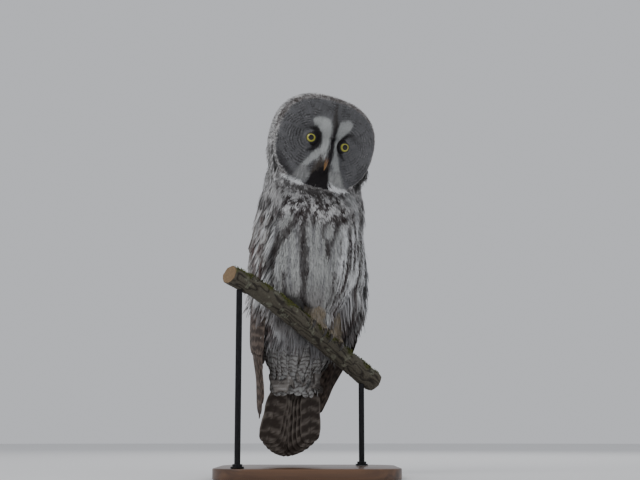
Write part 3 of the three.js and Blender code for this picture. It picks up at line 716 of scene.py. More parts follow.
def face_tint(place, root):
    """The disc. Its fine rings follow each place, and its patches the root of the feather."""
    colour = ringed(place)
    x, z = root[:, 0], root[:, 2]
    colour = mix(colour, CHIN * 1.6, 0.8 * drawn(x, z, LOWER_RIM, 10))
    colour = mix(colour, DISC_RING, 0.35 * smooth(np.abs(x), 50, 78) * smooth(-z, 0, 40))
    colour = mix(colour, BILL_BRISTLE * 0.6, 0.9 * drawn(x, z, BILL_AREA, 7))
    edge = 1.3 * noise(x / 2.6, z / 6, seed=8)
    tuft = 0.7 + 0.3 * noise(x / 1.8, z / 9, seed=10)
    shade = 0.78 + 0.22 * smooth(np.hypot(np.abs(x) - 20, z - 30), 40, 4)
    brow = mix(BROW_GREY * 0.72, BROW_GREY * 1.1, shade)
    for way in (-1, 1):
        cheek = outlined(x + edge, z, CHEEKS[way], 9) * tuft
        colour = mix(colour, BELLY_PALE * CHEEK_LIGHT[way], 0.85 * cheek)
        fading = 0.35 + 0.65 * smooth(z + 0.4 * x * way, -50, -26)
        fading = fading * (1 - 0.4 * smooth(z + 3 * noise(x / 3, 0.5, seed=11), 28, 42))
        colour = mix(colour, brow, 0.96 * outlined(x + edge, z, BROWS[way], 4.5) * fading)
    band = mix(MIDLINE * 0.75, CHIN * 1.5, smooth(-z, -34, -10))
    colour = mix(colour, band, 0.96 * drawn(x, z, MID_BAND, 4.5))
    colour = mix(colour, CHIN, 0.98 * outlined(x + edge, z, CHIN_AREA, 5))
    for way in (-1, 1):
        colour = mix(colour, CHIN, 0.95 * drawn(x, z, EYE_PATCHES[way], 4))
    away = from_eye(root)
    inner = smooth(EYE_X - np.abs(x), -8, 8)
    colour = mix(colour, CHIN, smooth(7.6 + 5 * inner - away, -0.8, 0.8))
    above = drawn(x, z, EYE_SHADES[-1], 9) + drawn(x, z, EYE_SHADES[1], 9)
    colour = mix(colour, DISC_RING * 0.8, 0.55 * np.clip(above, 0, 1) * (away > 10))
    for way in (-1, 1):
        colour = mix(colour, WHITE, 0.95 * outlined(x + edge, z, MOUSTACHES[way], 3))
    return colour * (1 + 0.10 * noise(place[:, 0] / 1.2, place[:, 2] / 1.2, seed=9))[:, None]


def hind_tint(place, root):
    """Crown, nape and sides of the head: fine pale and dark bars, mottled."""
    x, y, z = place.T
    bars = noise(x / 3.4, y / 2.1, z / 2.1, seed=21)
    bars = bars + 0.7 * noise(x / 1.6, y / 1.1, z / 1.1, seed=22)
    dark = smooth(bars, -0.35, 0.5)
    colour = mix(CROWN_PALE, CROWN_DARK, 0.9 * dark)
    greyer = smooth(noise(x / 14, y / 14, z / 14, seed=23), -0.2, 0.5)
    colour = mix(colour, BELLY_GREY, 0.3 * greyer) * (1 - 0.25 * smooth(y, 10, 60))[:, None]
    x, y, z = root.T
    share = disc_share(root)
    rim = smooth(share, 0.90, 0.92) * smooth(-y, 17, 23) * (0.75 + 0.25 * noise(x / 5, z / 5, seed=24))
    rim = rim * (0.4 + 0.6 * smooth(z, -10, 30)) * smooth(z, -62, -30)
    colour = mix(colour, RIM_BROWN, 0.9 * rim)
    low = smooth(-y, 12, 24) * smooth(-z, 56, 66) * smooth(share, 0.93, 0.97)
    colour = mix(colour, STREAK * 0.9, 0.65 * low * (1 - dark))
    for way in (-1, 1):
        colour = mix(colour, WHITE, 0.95 * outlined(x, z, MOUSTACHES[way], 3) * smooth(-y, 4, 14))
    return colour


def head_tint(points, roots, vane=None):
    place = in_frame(points, HEAD_PLACE)
    root = in_frame(roots, HEAD_PLACE)
    share = disc_share(root) + 0.010 * noise(root[:, 0] / 3, root[:, 2] / 3, seed=25)
    edge = 0.915 + 0.02 * smooth(-root[:, 2], -10, 30)
    front = smooth(-root[:, 1], 14, 24) * (1 - smooth(share, edge, edge + 0.018))
    return mix(hind_tint(place, root), face_tint(place, root), front)


def body_tint(points, roots, vane=None):
    """Neck, breast, belly and back. Fine strands follow each place, and marks the feather's root."""
    x, y, z = in_frame(points, OWL_PLACE).T
    arc = np.radians(body_turn(x, y)) * BODY_ROUND
    strand = noise(arc / 2.6, z / 30, seed=31) + 0.5 * noise(arc / 1.1, z / 18, seed=32)
    colour = mix(BELLY_PALE, BELLY_GREY, smooth(strand, -0.2, 0.9))
    colour = colour * (1 + 0.10 * noise(arc / 2, z / 5, seed=33))[:, None]
    wave = z + 4 * noise(arc / 11, z / 12, seed=39) + 1.2 * noise(arc / 3, z / 4, seed=40)
    spot = noise(arc / 5.5, z / 8, seed=41) + 0.6 * noise(arc / 2.4, z / 3.2, seed=42)
    fleck = noise(x / 3.2, y / 3.2, z / 3.6, seed=43) + 0.6 * noise(x / 1.5, y / 1.5, z / 1.7, seed=44)
    vein = noise(arc / 3.4, z / 30, seed=36) + 0.4 * noise(arc / 1.5, z / 11, seed=37)

    x, y, z = (0.65 * in_frame(roots, OWL_PLACE) + 0.35 * in_frame(points, OWL_PLACE)).T
    turn = body_turn(x, y)
    arc = np.radians(turn) * BODY_ROUND
    back = smooth(np.abs(turn + 4), 92, 124)
    front = 1 - back
    sides = np.maximum(smooth(turn, 2, 16), smooth(-turn, 56, 70)) * front
    lit = sides * (1 - 0.5 * smooth(np.abs(turn), 62, 84))
    colour = mix(colour, WHITE, 0.97 * lit * smooth(-vein, -0.15, 0.3))
    colour = mix(colour, STREAK * 0.75, 0.94 * sides * smooth(vein, 0.17, 0.42))
    colour = mix(colour, FLANK_BROWN, 0.7 * smooth(-turn, 66, 84) * front * smooth(vein, -0.5, 0.3))

    shaded = smooth(turn, 10, 40) * (1 - smooth(z, 262, 330)) * front
    colour = colour * (1 - 0.7 * shaded)[:, None]
    low_belly = smooth(-z, -360, -280) * front * smooth(noise(arc / 16, z / 26, seed=49), -0.7, 0.4)
    colour = mix(colour * (1 - 0.25 * low_belly)[:, None], FLANK_BROWN, 0.35 * low_belly)
    colour = mix(colour, FOOT_CREAM * 0.8, 0.75 * drawn(arc, z, CREAM_PATCH, 12))
    breast = smooth(z + 5 * noise(arc / 20, 0.5, seed=45), 424, 450) * (1 - 0.45 * smooth(turn, 14, 34))
    breast = breast * (1 - 0.75 * smooth(-turn, 54, 66) * (1 - smooth(z, 462, 480)))
    breast = breast * (1 - drawn(arc, z, PLAIN_SHOULDER, 6))
    blotch = noise(arc / 7.5, z / 4.8, seed=34) + 0.6 * noise(arc / 3, z / 2.3, seed=35)
    pale = smooth(blotch, -0.25, 0.3) * (0.6 + 0.4 * smooth(fleck, -0.5, 0.2))
    mottle = mix(STREAK * 0.7, MOTTLE_PALE, pale) * (1 - 0.42 * smooth(z, 462, 490))[:, None]
    colour = mix(colour, mottle, 0.92 * breast * front)

    edge = 3 * noise(arc / 8, z / 14, seed=38)
    cover = 0
    for line in STREAKS:
        unrolled = [(math.radians(t) * BODY_ROUND, high, wide) for t, high, wide in line]
        cover = np.maximum(cover, drawn(arc + edge, z, unrolled, 5))
    worn = 0.82 + 0.18 * noise(arc / 3, z / 9, seed=46)
    colour = mix(colour, STREAK * (1 - 0.45 * cover[..., None]), 0.97 * cover * worn * front)

    bars = smooth(np.sin(wave * 2 * math.pi / 9.5), 0.45, 0.95)
    barred = mix(BELLY_GREY * 1.05, STREAK, 0.85 * bars)
    colour = mix(colour, barred, 0.85 * (1 - smooth(z, 244, 276)) * front)

    dash = noise(arc / 4.4, z / 17, seed=48) + 0.5 * spot + 0.3 * np.sin(wave * 2 * math.pi / 7)
    rear = mix(BACK_GREY, BACK_DARK, 0.85 * smooth(dash, -0.2, 0.55))
    colour = mix(colour, mix(rear, CROWN_PALE, 0.5 * smooth(-dash, 0.35, 0.9)), back)

    collar = smooth(z + 9 * noise(arc / 7, z / 9, seed=47), 478, 520)
    collar = collar * (0.2 + 0.8 * smooth(np.abs(turn + 14), 40, 60))
    ruff = mix(CROWN_PALE, CROWN_DARK, 0.85 * smooth(fleck, -0.3, 0.4)) * (1 - 0.35 * back)[:, None]
    colour = mix(colour, ruff, collar)
    if vane is None:
        return colour
    shaft = np.exp(-((vane[:, 0] / 0.5) ** 2)) * smooth(vane[:, 1], 2, 9)
    return colour * (1 - 0.22 * shaft)[:, None]


def leg_tint(points):
    x, y, z = in_frame(points, OWL_PLACE).T
    bars = noise(x / 3, y / 3, z / 2.4, seed=51)
    return mix(FOOT_CREAM, BACK_GREY, 0.7 * smooth(bars, 0.05, 0.6))


def cloak_tint(points, roots, vane):
    """The colours of the head, which run over into those of the neck."""
    from_head = head_tint(points, roots)
    from_body = body_tint(points, roots, vane)
    rear = smooth(in_frame(roots, HEAD_PLACE)[:, 1], 0, 40)
    return mix(from_head, from_body, 0.3 * smooth(vane[:, 1], 4, 22)) * (1 - 0.3 * rear)[:, None]


def tuft_tint(points, roots, vane):
    # Each tuft is painted darker at its root and lighter towards its tip: painted shade between the
    # tufts.
    return leg_tint(roots) * (0.72 + 0.5 * smooth(vane[:, 1], 0, 8))[:, None]


def moss_tint(points, roots, vane):
    x, y, z = points.T / MM
    share = smooth(vane[:, 1], 0, 3.2) * (0.6 + 0.4 * noise(x / 8, y / 8, z / 8, seed=76))
    return mix(tone(52, 54, 26), tone(128, 132, 62), share)


def flight_tint(kind, aside, along, length, wide, seed):
    """Bars, a dark shaft, fine mottling and a worn pale fringe on one flight feather."""
    dark, pale, period, strength = VANE_MARKS[kind]
    from_tip = length - along
    slant = from_tip + 0.35 * np.abs(aside) + 3 * noise(aside / 7, from_tip / 9, seed, seed=61)
    slant = slant + 4 * noise(from_tip / 30, 0.5, seed, seed=66) + 0.2 * period * math.sin(seed * 5)
    bar = smooth(np.sin(slant * 2 * math.pi / period), -0.2, 0.6)
    speck = noise(aside / 1.6, from_tip / 1.3, seed, seed=62)
    speck = speck + 0.6 * noise(aside / 3.5, from_tip / 5, seed, seed=63)
    if kind in ("covert", "scapular"):
        share = 0.55 + strength * (bar - 0.5) + 0.42 * speck
        streak = np.exp(-((aside / 2.0) ** 2)) * (0.6 + 0.3 * noise(along / 6, 0.5, seed, seed=64))
    elif kind == "vent":
        share = 1 - strength * 1.5 * smooth(bar, 0.55, 1) + 0.18 * speck
        streak = 0.25 * np.exp(-((aside / 1.2) ** 2))
    else:
        share = strength * bar + 0.3 * speck * (0.3 + bar)
        streak = 0.6 * np.exp(-((aside / 0.8) ** 2))
    colour = mix(dark, pale, np.clip(share, 0, 1))
    colour = mix(colour, dark * 0.8, np.clip(streak, 0, 1))
    fringe = smooth(-from_tip, -2.5, -0.5) + smooth(np.abs(aside), wide * 0.40, wide * 0.5)
    fringe = fringe * (0.2 if kind == "vent" else 1)
    return mix(colour, pale * 1.2, 0.5 * np.clip(fringe, 0, 1))


# Skin under the coat

def section_at(sections, z):
    """Middle, half width and half depth of a shell at each height, smooth between sections."""
    table = np.array(sections, float)
    heights, values = table[:, 0], table[:, 1:]
    slope = np.gradient(values, heights, axis=0)
    i = np.clip(np.searchsorted(heights, z, "right") - 1, 0, len(heights) - 2)
    run = (heights[i + 1] - heights[i])[..., None]
    t = np.clip((z - heights[i])[..., None] / run, 0, 1)
    return (
        (2 * t**3 - 3 * t**2 + 1) * values[i]
        + (t**3 - 2 * t**2 + t) * run * slope[i]
        + (3 * t**2 - 2 * t**3) * values[i + 1]
        + (t**3 - t**2) * run * slope[i + 1]
    )


def shell_point(sections, z, turn, lift):
    """A place over a shell in the owl's frame, in millimetres: turn 0 faces forward."""
    z, turn, lift = np.broadcast_arrays(np.asarray(z, float), turn, lift)
    values = section_at(sections, z)
    angle = np.radians(turn)
    power = 2 / SHELL_SQUARE
    s = np.sign(np.sin(angle)) * np.abs(np.sin(angle)) ** power
    c = np.sign(np.cos(angle)) * np.abs(np.cos(angle)) ** power
    x = values[..., 0] + (values[..., 2] + lift) * s
    y = values[..., 1] - (values[..., 3] + lift) * c
    return np.stack([x, y, z], -1)


def tube_mesh(rings):
    """Points and quads of a tube through rings of equally many points."""
    count, sides = rings.shape[:2]
    k, j = np.meshgrid(np.arange(count - 1), np.arange(sides), indexing="ij")
    a = k * sides + j
    b = k * sides + (j + 1) % sides
    quads = np.stack([a, b, b + sides, a + sides], -1).reshape(-1, 4)
    return rings.reshape(-1, 3), quads


def wing_arm(side):
    """The flesh of a folded wing, from which its feathers grow."""
    table = np.array(WING_ARM, float)
    heights = np.linspace(table[0, 0], table[-1, 0], 24)
    front = np.interp(heights, table[:, 0], table[:, 1])
    back = np.interp(heights, table[:, 0], table[:, 2])
    turn = front[:, None] + (back - front)[:, None] * np.linspace(0, 1, 12)
    outer = shell_point(WING_SHELL, heights[:, None], side * turn, ARM_OUTER)
    inner = shell_point(WING_SHELL, heights[:, None], side * turn[:, ::-1], ARM_INNER)
    points, quads = tube_mesh(np.concatenate([outer, inner], 1))
    arm = mesh_object("wing_arm", moved(points * MM, OWL_PLACE), quads)
    choose(arm)
    bpy.ops.object.mode_set(mode="EDIT")
    bpy.ops.mesh.select_all(action="SELECT")
    bpy.ops.mesh.fill_holes(sides=0)
    bpy.ops.mesh.select_all(action="SELECT")
    bpy.ops.mesh.normals_make_consistent(inside=False)
    bpy.ops.object.mode_set(mode="OBJECT")
    return arm


FLESH = ["head", "neck", "torso", "leg_right", "leg_left", "foot_right", "foot_left"]


def part_of(points):
    """The part of the body that each place belongs to, by the nearest CAD node."""
    corners = []
    owner = []
    for node in FLESH:
        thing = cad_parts[node]
        index = triangles_of(thing)
        corners.append(points_of(thing)[index.ravel()])
        owner += [node.split("_")[0]] * len(index)
    corners = np.concatenate(corners)
    tree = BVHTree.FromPolygons(corners.tolist(), np.arange(len(corners)).reshape(-1, 3).tolist())
    found = [owner[tree.find_nearest(Vector(p))[2]] for p in points]
    part = np.array(found, dtype=object)
    place = in_frame(points, HEAD_PLACE)
    part[(part == "head") & (place[:, 1] < -18) & (disc_share(place) < 0.975)] = "face"
    return part


def evened(thing, values, rounds):
    """Averages a value of each point with those of its neighbours."""
    edges = read_numbers(thing.data.edges, "vertices", 2, np.int32)
    first, second = edges.T
    count = np.bincount(edges.ravel(), minlength=len(values))
    for _ in range(rounds):
        total = np.bincount(first, values[second], len(values))
        total += np.bincount(second, values[first], len(values))
        values = 0.5 * values + 0.5 * total / np.maximum(count, 1)
    return values


def make_skin():
    """The body without its coat, with both wing arms grown on."""
    skin = smooth_copy(FLESH, "owl_skin", SKIN_VOXEL, 8)
    depth = np.array([COAT_DEPTH[name] for name in part_of(points_of(skin))]) * MM
    depth = evened(skin, depth, 12)
    set_points(skin, points_of(skin) - normals_of(skin) * depth[:, None])
    return closed_over(joined(skin, wing_arm(-1), wing_arm(1)), SKIN_VOXEL, 6)


def skin_tint(points, part):
    colour = body_tint(points, points)
    on_head = np.isin(part, ["head", "face"])
    colour[on_head] = head_tint(points[on_head], points[on_head])
    on_leg = np.isin(part, ["leg", "foot"])
    colour[on_leg] = leg_tint(points[on_leg])
    return colour * 0.8


def growing_ground(thing, part):
    """A mesh as ground for feathers: its triangles by part, and a tree to find them."""
    index = triangles_of(thing)
    points = points_of(thing)
    return {
        "points": points, "normals": normals_of(thing), "index": index, "part": part[index[:, 0]],
        "tree": BVHTree.FromPolygons(points.tolist(), index.tolist()),
    }


# Small feathers over the skin

BLADE = {
    "rows": np.array([0, 0.35, 0.72, 1.0]),
    "wide": np.array([0.45, 1.0, 0.8, 0.06]),
    "columns": np.array([-1.0, 1.0]),
    "camber": 0.0, "ragged": 0.0, "look": "soft",
}
PLUME = {
    "rows": np.array([0, 0.2, 0.45, 0.7, 0.88, 1.0]),
    "wide": np.array([0.3, 0.75, 1.0, 0.9, 0.55, 0.08]),
    "columns": np.array([-1.0, 0.0, 1.0]),
    "camber": 0.12, "ragged": 0.12, "look": "vane",
}
DOWN = np.array([0.0, 0.0, -1.0])

# Small feathers: distance between roots, then length, width and lift, each with its spread
COATS = {
    "face_disc_feathers": (1.1, (5.6, 0.18), (1.0, 0.18), (1.7, 0.35)),
    "head_feathers": (3.0, (10, 0.18), (4.2, 0.18), (3.4, 0.3)),
    "head_barbs": (2.0, (8, 0.25), (1.3, 0.3), (4.0, 0.3)),
    "ruff_feathers": (1.7, (7.5, 0.18), (1.5, 0.18), (2.6, 0.35)),
    "bill_bristles": (0.95, (14, 0.2), (0.8, 0.25), (0.2, 0.18)),
    "moustache_tufts": (1.1, (9.5, 0.3), (1.1, 0.25), (0.2, 0.18)),
    "neck_cloak": (3.4, (21, 0.2), (5.2, 0.18), (1.2, 0.3)),
    "neck_barbs": (3.4, (17, 0.3), (1.4, 0.3), (2.4, 0.3)),
    "body_plumes": (5.2, (22, 0.18), (8.5, 0.18), (5.0, 0.25)),
    "body_barbs": (2.05, (13, 0.3), (1.35, 0.3), (6.8, 0.25)),
    "flank_plumes": (2.7, (1.0, 0.3), (3.6, 0.3), (5.0, 0.3)),
    "flank_barbs": (2.7, (0.9, 0.3), (1.2, 0.3), (6.5, 0.3)),
    "leg_tufts": (1.35, (7.4, 0.3), (1.1, 0.25), (0.6, 0.3)),
    "lid_feathers": (0.9, (3.6, 0.18), (0.9, 0.18), (0.9, 0.35)),
    "perch_moss": (1.9, (3.6, 0.4), (1.0, 0.3), (2.6, 0.5)),
}


def scatter(cover, chosen, kind):
    """Even, random places on the chosen triangles of a mesh, about one spacing apart."""
    spacing = COATS[kind][0] * MM
    index = cover["index"][chosen]
    corner = cover["points"][index]
    area = np.linalg.norm(np.cross(corner[:, 1] - corner[:, 0], corner[:, 2] - corner[:, 0]), axis=1) / 2
    count = int(3.4 * area.sum() / spacing**2)
    pick = rng.choice(len(index), count, p=area / area.sum())
    r = np.sqrt(rng.random(count))
    s = rng.random(count)
    weight = np.stack([1 - r, r * (1 - s), r * s], 1)
    points = (corner[pick] * weight[..., None]).sum(1)
    normals = unit((cover["normals"][index[pick]] * weight[..., None]).sum(1))
    tree = KDTree(count)
    for i, p in enumerate(points):
        tree.insert(p, i)
    tree.balance()
    alive = np.ones(count, bool)
    kept = []
    for i in range(count):
        if not alive[i]:
            continue
        kept.append(i)
        for _, j, _ in tree.find_range(points[i], spacing * 0.82):
            alive[j] = False
    return points[kept], normals[kept]


def along_skin(cover, roots, normals, lies, lengths, rows):
    """Walks each feather's shaft over the skin, and returns its places, normals and run."""
    places = np.empty((len(roots), len(rows), 3))
    outs = np.empty(places.shape)
    for i in range(len(roots)):
        here = Vector(roots[i])
        out = Vector(normals[i])
        run = Vector(lies[i])
        run = (run - out * run.dot(out)).normalized()
        places[i, 0] = here
        outs[i, 0] = out
        for k in range(1, len(rows)):
            step = lengths[i] * (rows[k] - rows[k - 1])
            found, facing, _, _ = cover["tree"].find_nearest(here + run * step)
            out = (out + facing).normalized()
            run = found - here
            run = (run - out * run.dot(out)).normalized()
            here = found
            places[i, k] = here
            outs[i, k] = out
    return places, outs, unit(np.gradient(places, axis=1))


def hanging(roots, normals, starts, ends, lengths, rows):
    """Loose shafts that leave the skin one way and bend over to another."""
    places = np.empty((len(roots), len(rows), 3))
    runs = np.empty(places.shape)
    here = roots.copy()
    for k in range(len(rows)):
        run = unit(starts * (1 - rows[k]) + ends * rows[k])
        if k:
            here = here + run * (lengths * (rows[k] - rows[k - 1]))[:, None]
        places[:, k] = here
        runs[:, k] = run
    outs = normals[:, None] - runs * (normals[:, None] * runs).sum(-1, keepdims=True)
    return places, unit(outs), runs


def feathers(cover, form, roots, normals, lies, sizes, ends):
    """Lays one feather at each root. Returns points, quads, and the place on each feather."""
    rows, columns, ragged = form["rows"], form["columns"], form["ragged"]
    lengths, widths, lifts = sizes
    if ends is None:
        places, outs, runs = along_skin(cover, roots, normals, lies, lengths, rows)
    else:
        places, outs, runs = hanging(roots, normals, lies, ends, lengths, rows)
    across = unit(np.cross(runs, outs))
    count, steps, many = len(roots), len(rows), len(columns)
    height = lifts[:, None] * (0.04 + 0.96 * rows[None, :] ** 0.75)
    half = widths[:, None] * form["wide"][None, :] / 2
    shift = half[:, :, None] * columns * (1 + ragged * rng.uniform(-1, 1, (count, steps, many)))
    drop = form["camber"] * widths[:, None, None] * columns**2 * np.ones((1, steps, 1))
    points = (
        places[:, :, None]
        + across[:, :, None] * shift[..., None]
        + outs[:, :, None] * (height[:, :, None] - drop)[..., None]
    )
    slide = ragged * widths[:, None, None, None] * rng.uniform(-1, 1, (count, steps, many, 1))
    points = points + runs[:, :, None] * slide * rows[None, :, None, None]
    k, j = np.meshgrid(np.arange(steps - 1), np.arange(many - 1), indexing="ij")
    a = (k * many + j).ravel()
    one = np.stack([a, a + 1, a + many + 1, a + many], 1)
    quads = (one[None] + (np.arange(count) * steps * many)[:, None, None]).reshape(-1, 4)
    along = np.broadcast_to((lengths[:, None] * rows)[:, :, None], shift.shape)
    seed = np.broadcast_to(rng.random(count)[:, None, None] * 50, shift.shape)
    vane = np.stack([shift / MM, along / MM, seed], -1).reshape(-1, 3)
    return points.reshape(-1, 3), quads, vane


def flat_map(roots):
    """Lays the disc of the face flat, and what grows about its rim."""
    return in_frame(roots, HEAD_PLACE)[:, [0, 2]] / 200 + 0.5


def round_map(place, axis_y, low, high):
    """Unrolls places about a frame's upright axis, from a low to a high end."""
    def unrolled(roots):
        x, y, z = in_frame(roots, place).T
        turn = np.arctan2(x, axis_y - y) / (2 * math.pi) + 0.5
        return np.stack([turn, (z - low) / (high - low)], 1)

    return unrolled


def branch_map(roots):
    along, turn, total = branch_place(roots / MM)
    return np.stack([along / total, turn / 6.4 + 0.5], 1)


# Regions of the coat: slot, colours, and the unrolled place of each root
FACE = {"slot": "face_feathers", "tint": head_tint, "map": flat_map}
HIND = {**FACE, "map": round_map(HEAD_PLACE, 0, -90, 95)}
CLOAK = {**FACE, "tint": cloak_tint, "map": round_map(HEAD_PLACE, 0, -130, 95)}
LID = {**FACE, "tint": lambda points, roots, vane: head_tint(points, roots) * 0.88}
BODY = {"slot": "body_feathers", "tint": body_tint, "map": round_map(OWL_PLACE, BODY_AXIS_Y, 170, 580)}
LEGS = {"slot": "leg_feathers", "tint": tuft_tint, "map": round_map(OWL_PLACE, BODY_AXIS_Y, 190, 300)}
MOSS = {"slot": "bark", "tint": moss_tint, "map": branch_map}


def bake_map(root_map, vane, per_feather):
    """A small patch for each feather at its root's place on the unrolled skin."""
    base = 0.01 + 0.98 * np.clip(root_map, 0, 1)
    local = vane.reshape(len(base), per_feather, 3)[:, :, :2]
    span = np.maximum(np.abs(local).max(axis=1, keepdims=True), 1e-6)
    patch = base[:, None] + 0.0015 * local / span
    return patch.reshape(-1, 2)


def coat(title, cover, form, region, roots, normals, sizes, lies, ends=None):
    """One piece of the coat, from its roots to a finished mesh."""
    points, quads, vane = feathers(cover, form, roots, normals, lies, sizes, ends)
    each = len(form["rows"]) * len(form["columns"])
    bake = bake_map(region["map"](roots), vane, each)
    colour = region["tint"](points, np.repeat(roots, each, axis=0), vane)
    gain = np.repeat(1 + 0.10 * rng.uniform(-1, 1, len(roots)), each)
    thing = plumage_object(title, points, quads, colour * gain[:, None], vane, bake)
    finish_piece(thing, LOOKS[form["look"]])


def layer(title, kind, cover, here, form, region, lie, *splay):
    """A coat of like feathers over the chosen triangles, with their lie drawn for each root."""
    roots, normals = scatter(cover, here, kind)
    sizes = varied(len(roots), kind)
    coat(title, cover, form, region, roots, normals, sizes, lie(roots, normals, *splay))


def varied(count, kind):
    """Draws lengths, widths and lifts in metres for one kind of feather."""
    return [
        size * MM * (1 + spread * rng.uniform(-1, 1, count)) for size, spread in COATS[kind][1:]
    ]


def strewn(directions, spread):
    return directions + rng.normal(0, spread, directions.shape)


def laid(ways, normals, splay):
    """Ways laid on the skin and turned a little to either side."""
    lie = ways - normals * (ways * normals).sum(1)[:, None]
    aside = np.cross(lie, normals)
    return unit(unit(lie) + aside * rng.normal(0, splay, len(normals))[:, None])


def down_lie(points, normals, splay):
    """Feathers of the body hang down."""
    return laid(DOWN, normals, splay)


def hind_lie(points, normals, splay):
    """Feathers of crown, nape and sides of the head run backwards and down."""
    return laid(turned(np.array([0.0, 0.75, -0.66]), HEAD_PLACE), normals, splay)


def face_lie(points, normals):
    """Feathers of the disc point away from the nearer eye, and round the bill downwards."""
    x, _, z = in_frame(points, HEAD_PLACE).T
    side = np.where(x < 0, -1, 1)
    level = np.zeros(len(x))
    way = np.stack([x - side * EYE_X, level, z], 1)
    bristle = drawn(np.abs(x), z, BRISTLED, 14)[:, None]
    down = np.stack([side * 0.25, level, level - 1], 1)
    return laid(turned(unit(way) * (1 - bristle) + down * bristle, HEAD_PLACE), normals, 0.07)


def dress_head(cover):
    on_face = cover["part"] == "face"
    on_head = cover["part"] == "head"
    corner = in_frame(cover["points"][cover["index"][:, 0]], HEAD_PLACE)
    share = disc_share(corner)

    roots, normals = scatter(cover, on_face, "face_disc_feathers")
    place = in_frame(roots, HEAD_PLACE)
    keep = (from_eye(place) > EYE_CLEAR) | (place[:, 1] > 0)
    roots, normals = roots[keep], normals[keep]
    sizes = varied(len(roots), "face_disc_feathers")
    sizes[0] *= 0.7 + 0.6 * smooth(from_eye(place[keep]), 12, 60)
    coat("face_disc_feathers", cover, BLADE, FACE, roots, normals, sizes, face_lie(roots, normals))

    even = {**PLUME, "ragged": 0.10}
    layer("head_feathers", "head_feathers", cover, on_head, even, HIND, hind_lie, 0.14)
    layer("head_barbs", "head_barbs", cover, on_head, BLADE, HIND, hind_lie, 0.2)

    rim = between(share, 0.9, 1.06) & (corner[:, 1] < -12) & (on_face | on_head)
    roots, normals = scatter(cover, rim, "ruff_feathers")
    count = len(roots)
    x, _, z = in_frame(roots, HEAD_PLACE).T
    outward = turned(unit(np.stack([x, np.full(count, 30.0), z], 1)), HEAD_PLACE)
    outward = unit(strewn(outward, 0.12))
    sizes = varied(count, "ruff_feathers")
    coat("ruff_feathers", cover, BLADE, FACE, roots, normals, sizes, outward)

    bristles(cover, corner)
    moustache(cover, corner, on_face | on_head)
    cloak(cover, corner, share)


def bristles(cover, corner):
    """Loose bristles between the brows that reach forward and down over the root of the bill."""
    x, y, z = corner.T
    here = (np.abs(x - BILL_X) < 16) & between(z, -42, 8) & (y < -30)
    roots, normals = scatter(cover, here, "bill_bristles")
    x, _, z = in_frame(roots, HEAD_PLACE).T
    x = x - BILL_X
    count = len(roots)
    top = smooth(z, -26, -6) * (1 - smooth(np.abs(x), 5, 12))
    lean = smooth(np.abs(x), 3, 14) * smooth(z, -46, -28) * np.sign(x)
    start = np.stack([-0.35 * lean, np.full(count, -1.15), -0.45 - 0.3 * (1 - top)], 1)
    end = np.stack([-0.30 * lean, np.full(count, 0.12), np.full(count, -1.0)], 1)
    start = turned(strewn(start, 0.09), HEAD_PLACE)
    end = turned(strewn(end, 0.10), HEAD_PLACE)
    sizes = varied(count, "bill_bristles")
    sizes[0] *= 1 + 1.6 * top
    coat("bill_bristles", cover, BLADE, FACE, roots, normals, sizes, start, end)


def moustache(cover, corner, on_head):
    """The two white tufts under the disc, brushed outwards over the neck."""
    x, y, z = corner.T
    white = np.maximum(outlined(x, z, MOUSTACHES[-1], 2), outlined(x, z, MOUSTACHES[1], 2))
    roots, normals = scatter(cover, (white > 0.4) & on_head & (y < -8), "moustache_tufts")
    side = np.where(in_frame(roots, HEAD_PLACE)[:, 0] < 0, -1, 1)[:, None]
    start = np.array([0.55, 0, 0]) * side + (0, -0.6, -0.55)
    end = strewn(np.array([0.75, 0, 0]) * side + (0, 0.15, -0.7), 0.2)
    sizes = varied(len(roots), "moustache_tufts")
    coat("moustache_tufts", cover, BLADE, FACE, roots, normals, sizes,
         turned(start, HEAD_PLACE), turned(end, HEAD_PLACE))


def cloak(cover, corner, share):
    """Long feathers that fall from the sides of the head over the neck, so that no waist shows."""
    x, y, z = corner.T
    here = np.isin(cover["part"], ["head", "neck"]) & (z < -22) & (y > -16)
    here &= ((share > 0.9) | (y > -2)) & ((np.abs(x) > 34) | (y > 0))
    roots, normals = scatter(cover, here, "neck_cloak")
    count = len(roots)
    start = unit(strewn(DOWN + 0.75 * normals, 0.07))
    end = unit(strewn(DOWN - 0.05 * normals, 0.10))
    low = smooth(-in_frame(roots, HEAD_PLACE)[:, 2], 30, 60)
    sizes = varied(count, "neck_cloak")
    sizes[0] *= 0.7 + 0.45 * low
    coat("neck_cloak", cover, PLUME, CLOAK, roots, normals, sizes, start, end)
    sizes = varied(count, "neck_barbs")
    coat("neck_barbs", cover, BLADE, CLOAK, roots, normals, sizes,
         unit(start + 0.15 * normals), unit(strewn(end, 0.1)))


# Loose plumes of the flanks: length, how far they leave the skin, and how far they lap backwards
FLANKS = {
    "edge": (38, 0.7, 0.5),
    "thigh": (44, 0.22, 0.08),
    "shin": (22, 0.5, 0.08),
    "shoulder": (34, 0.5, 0.25),
}


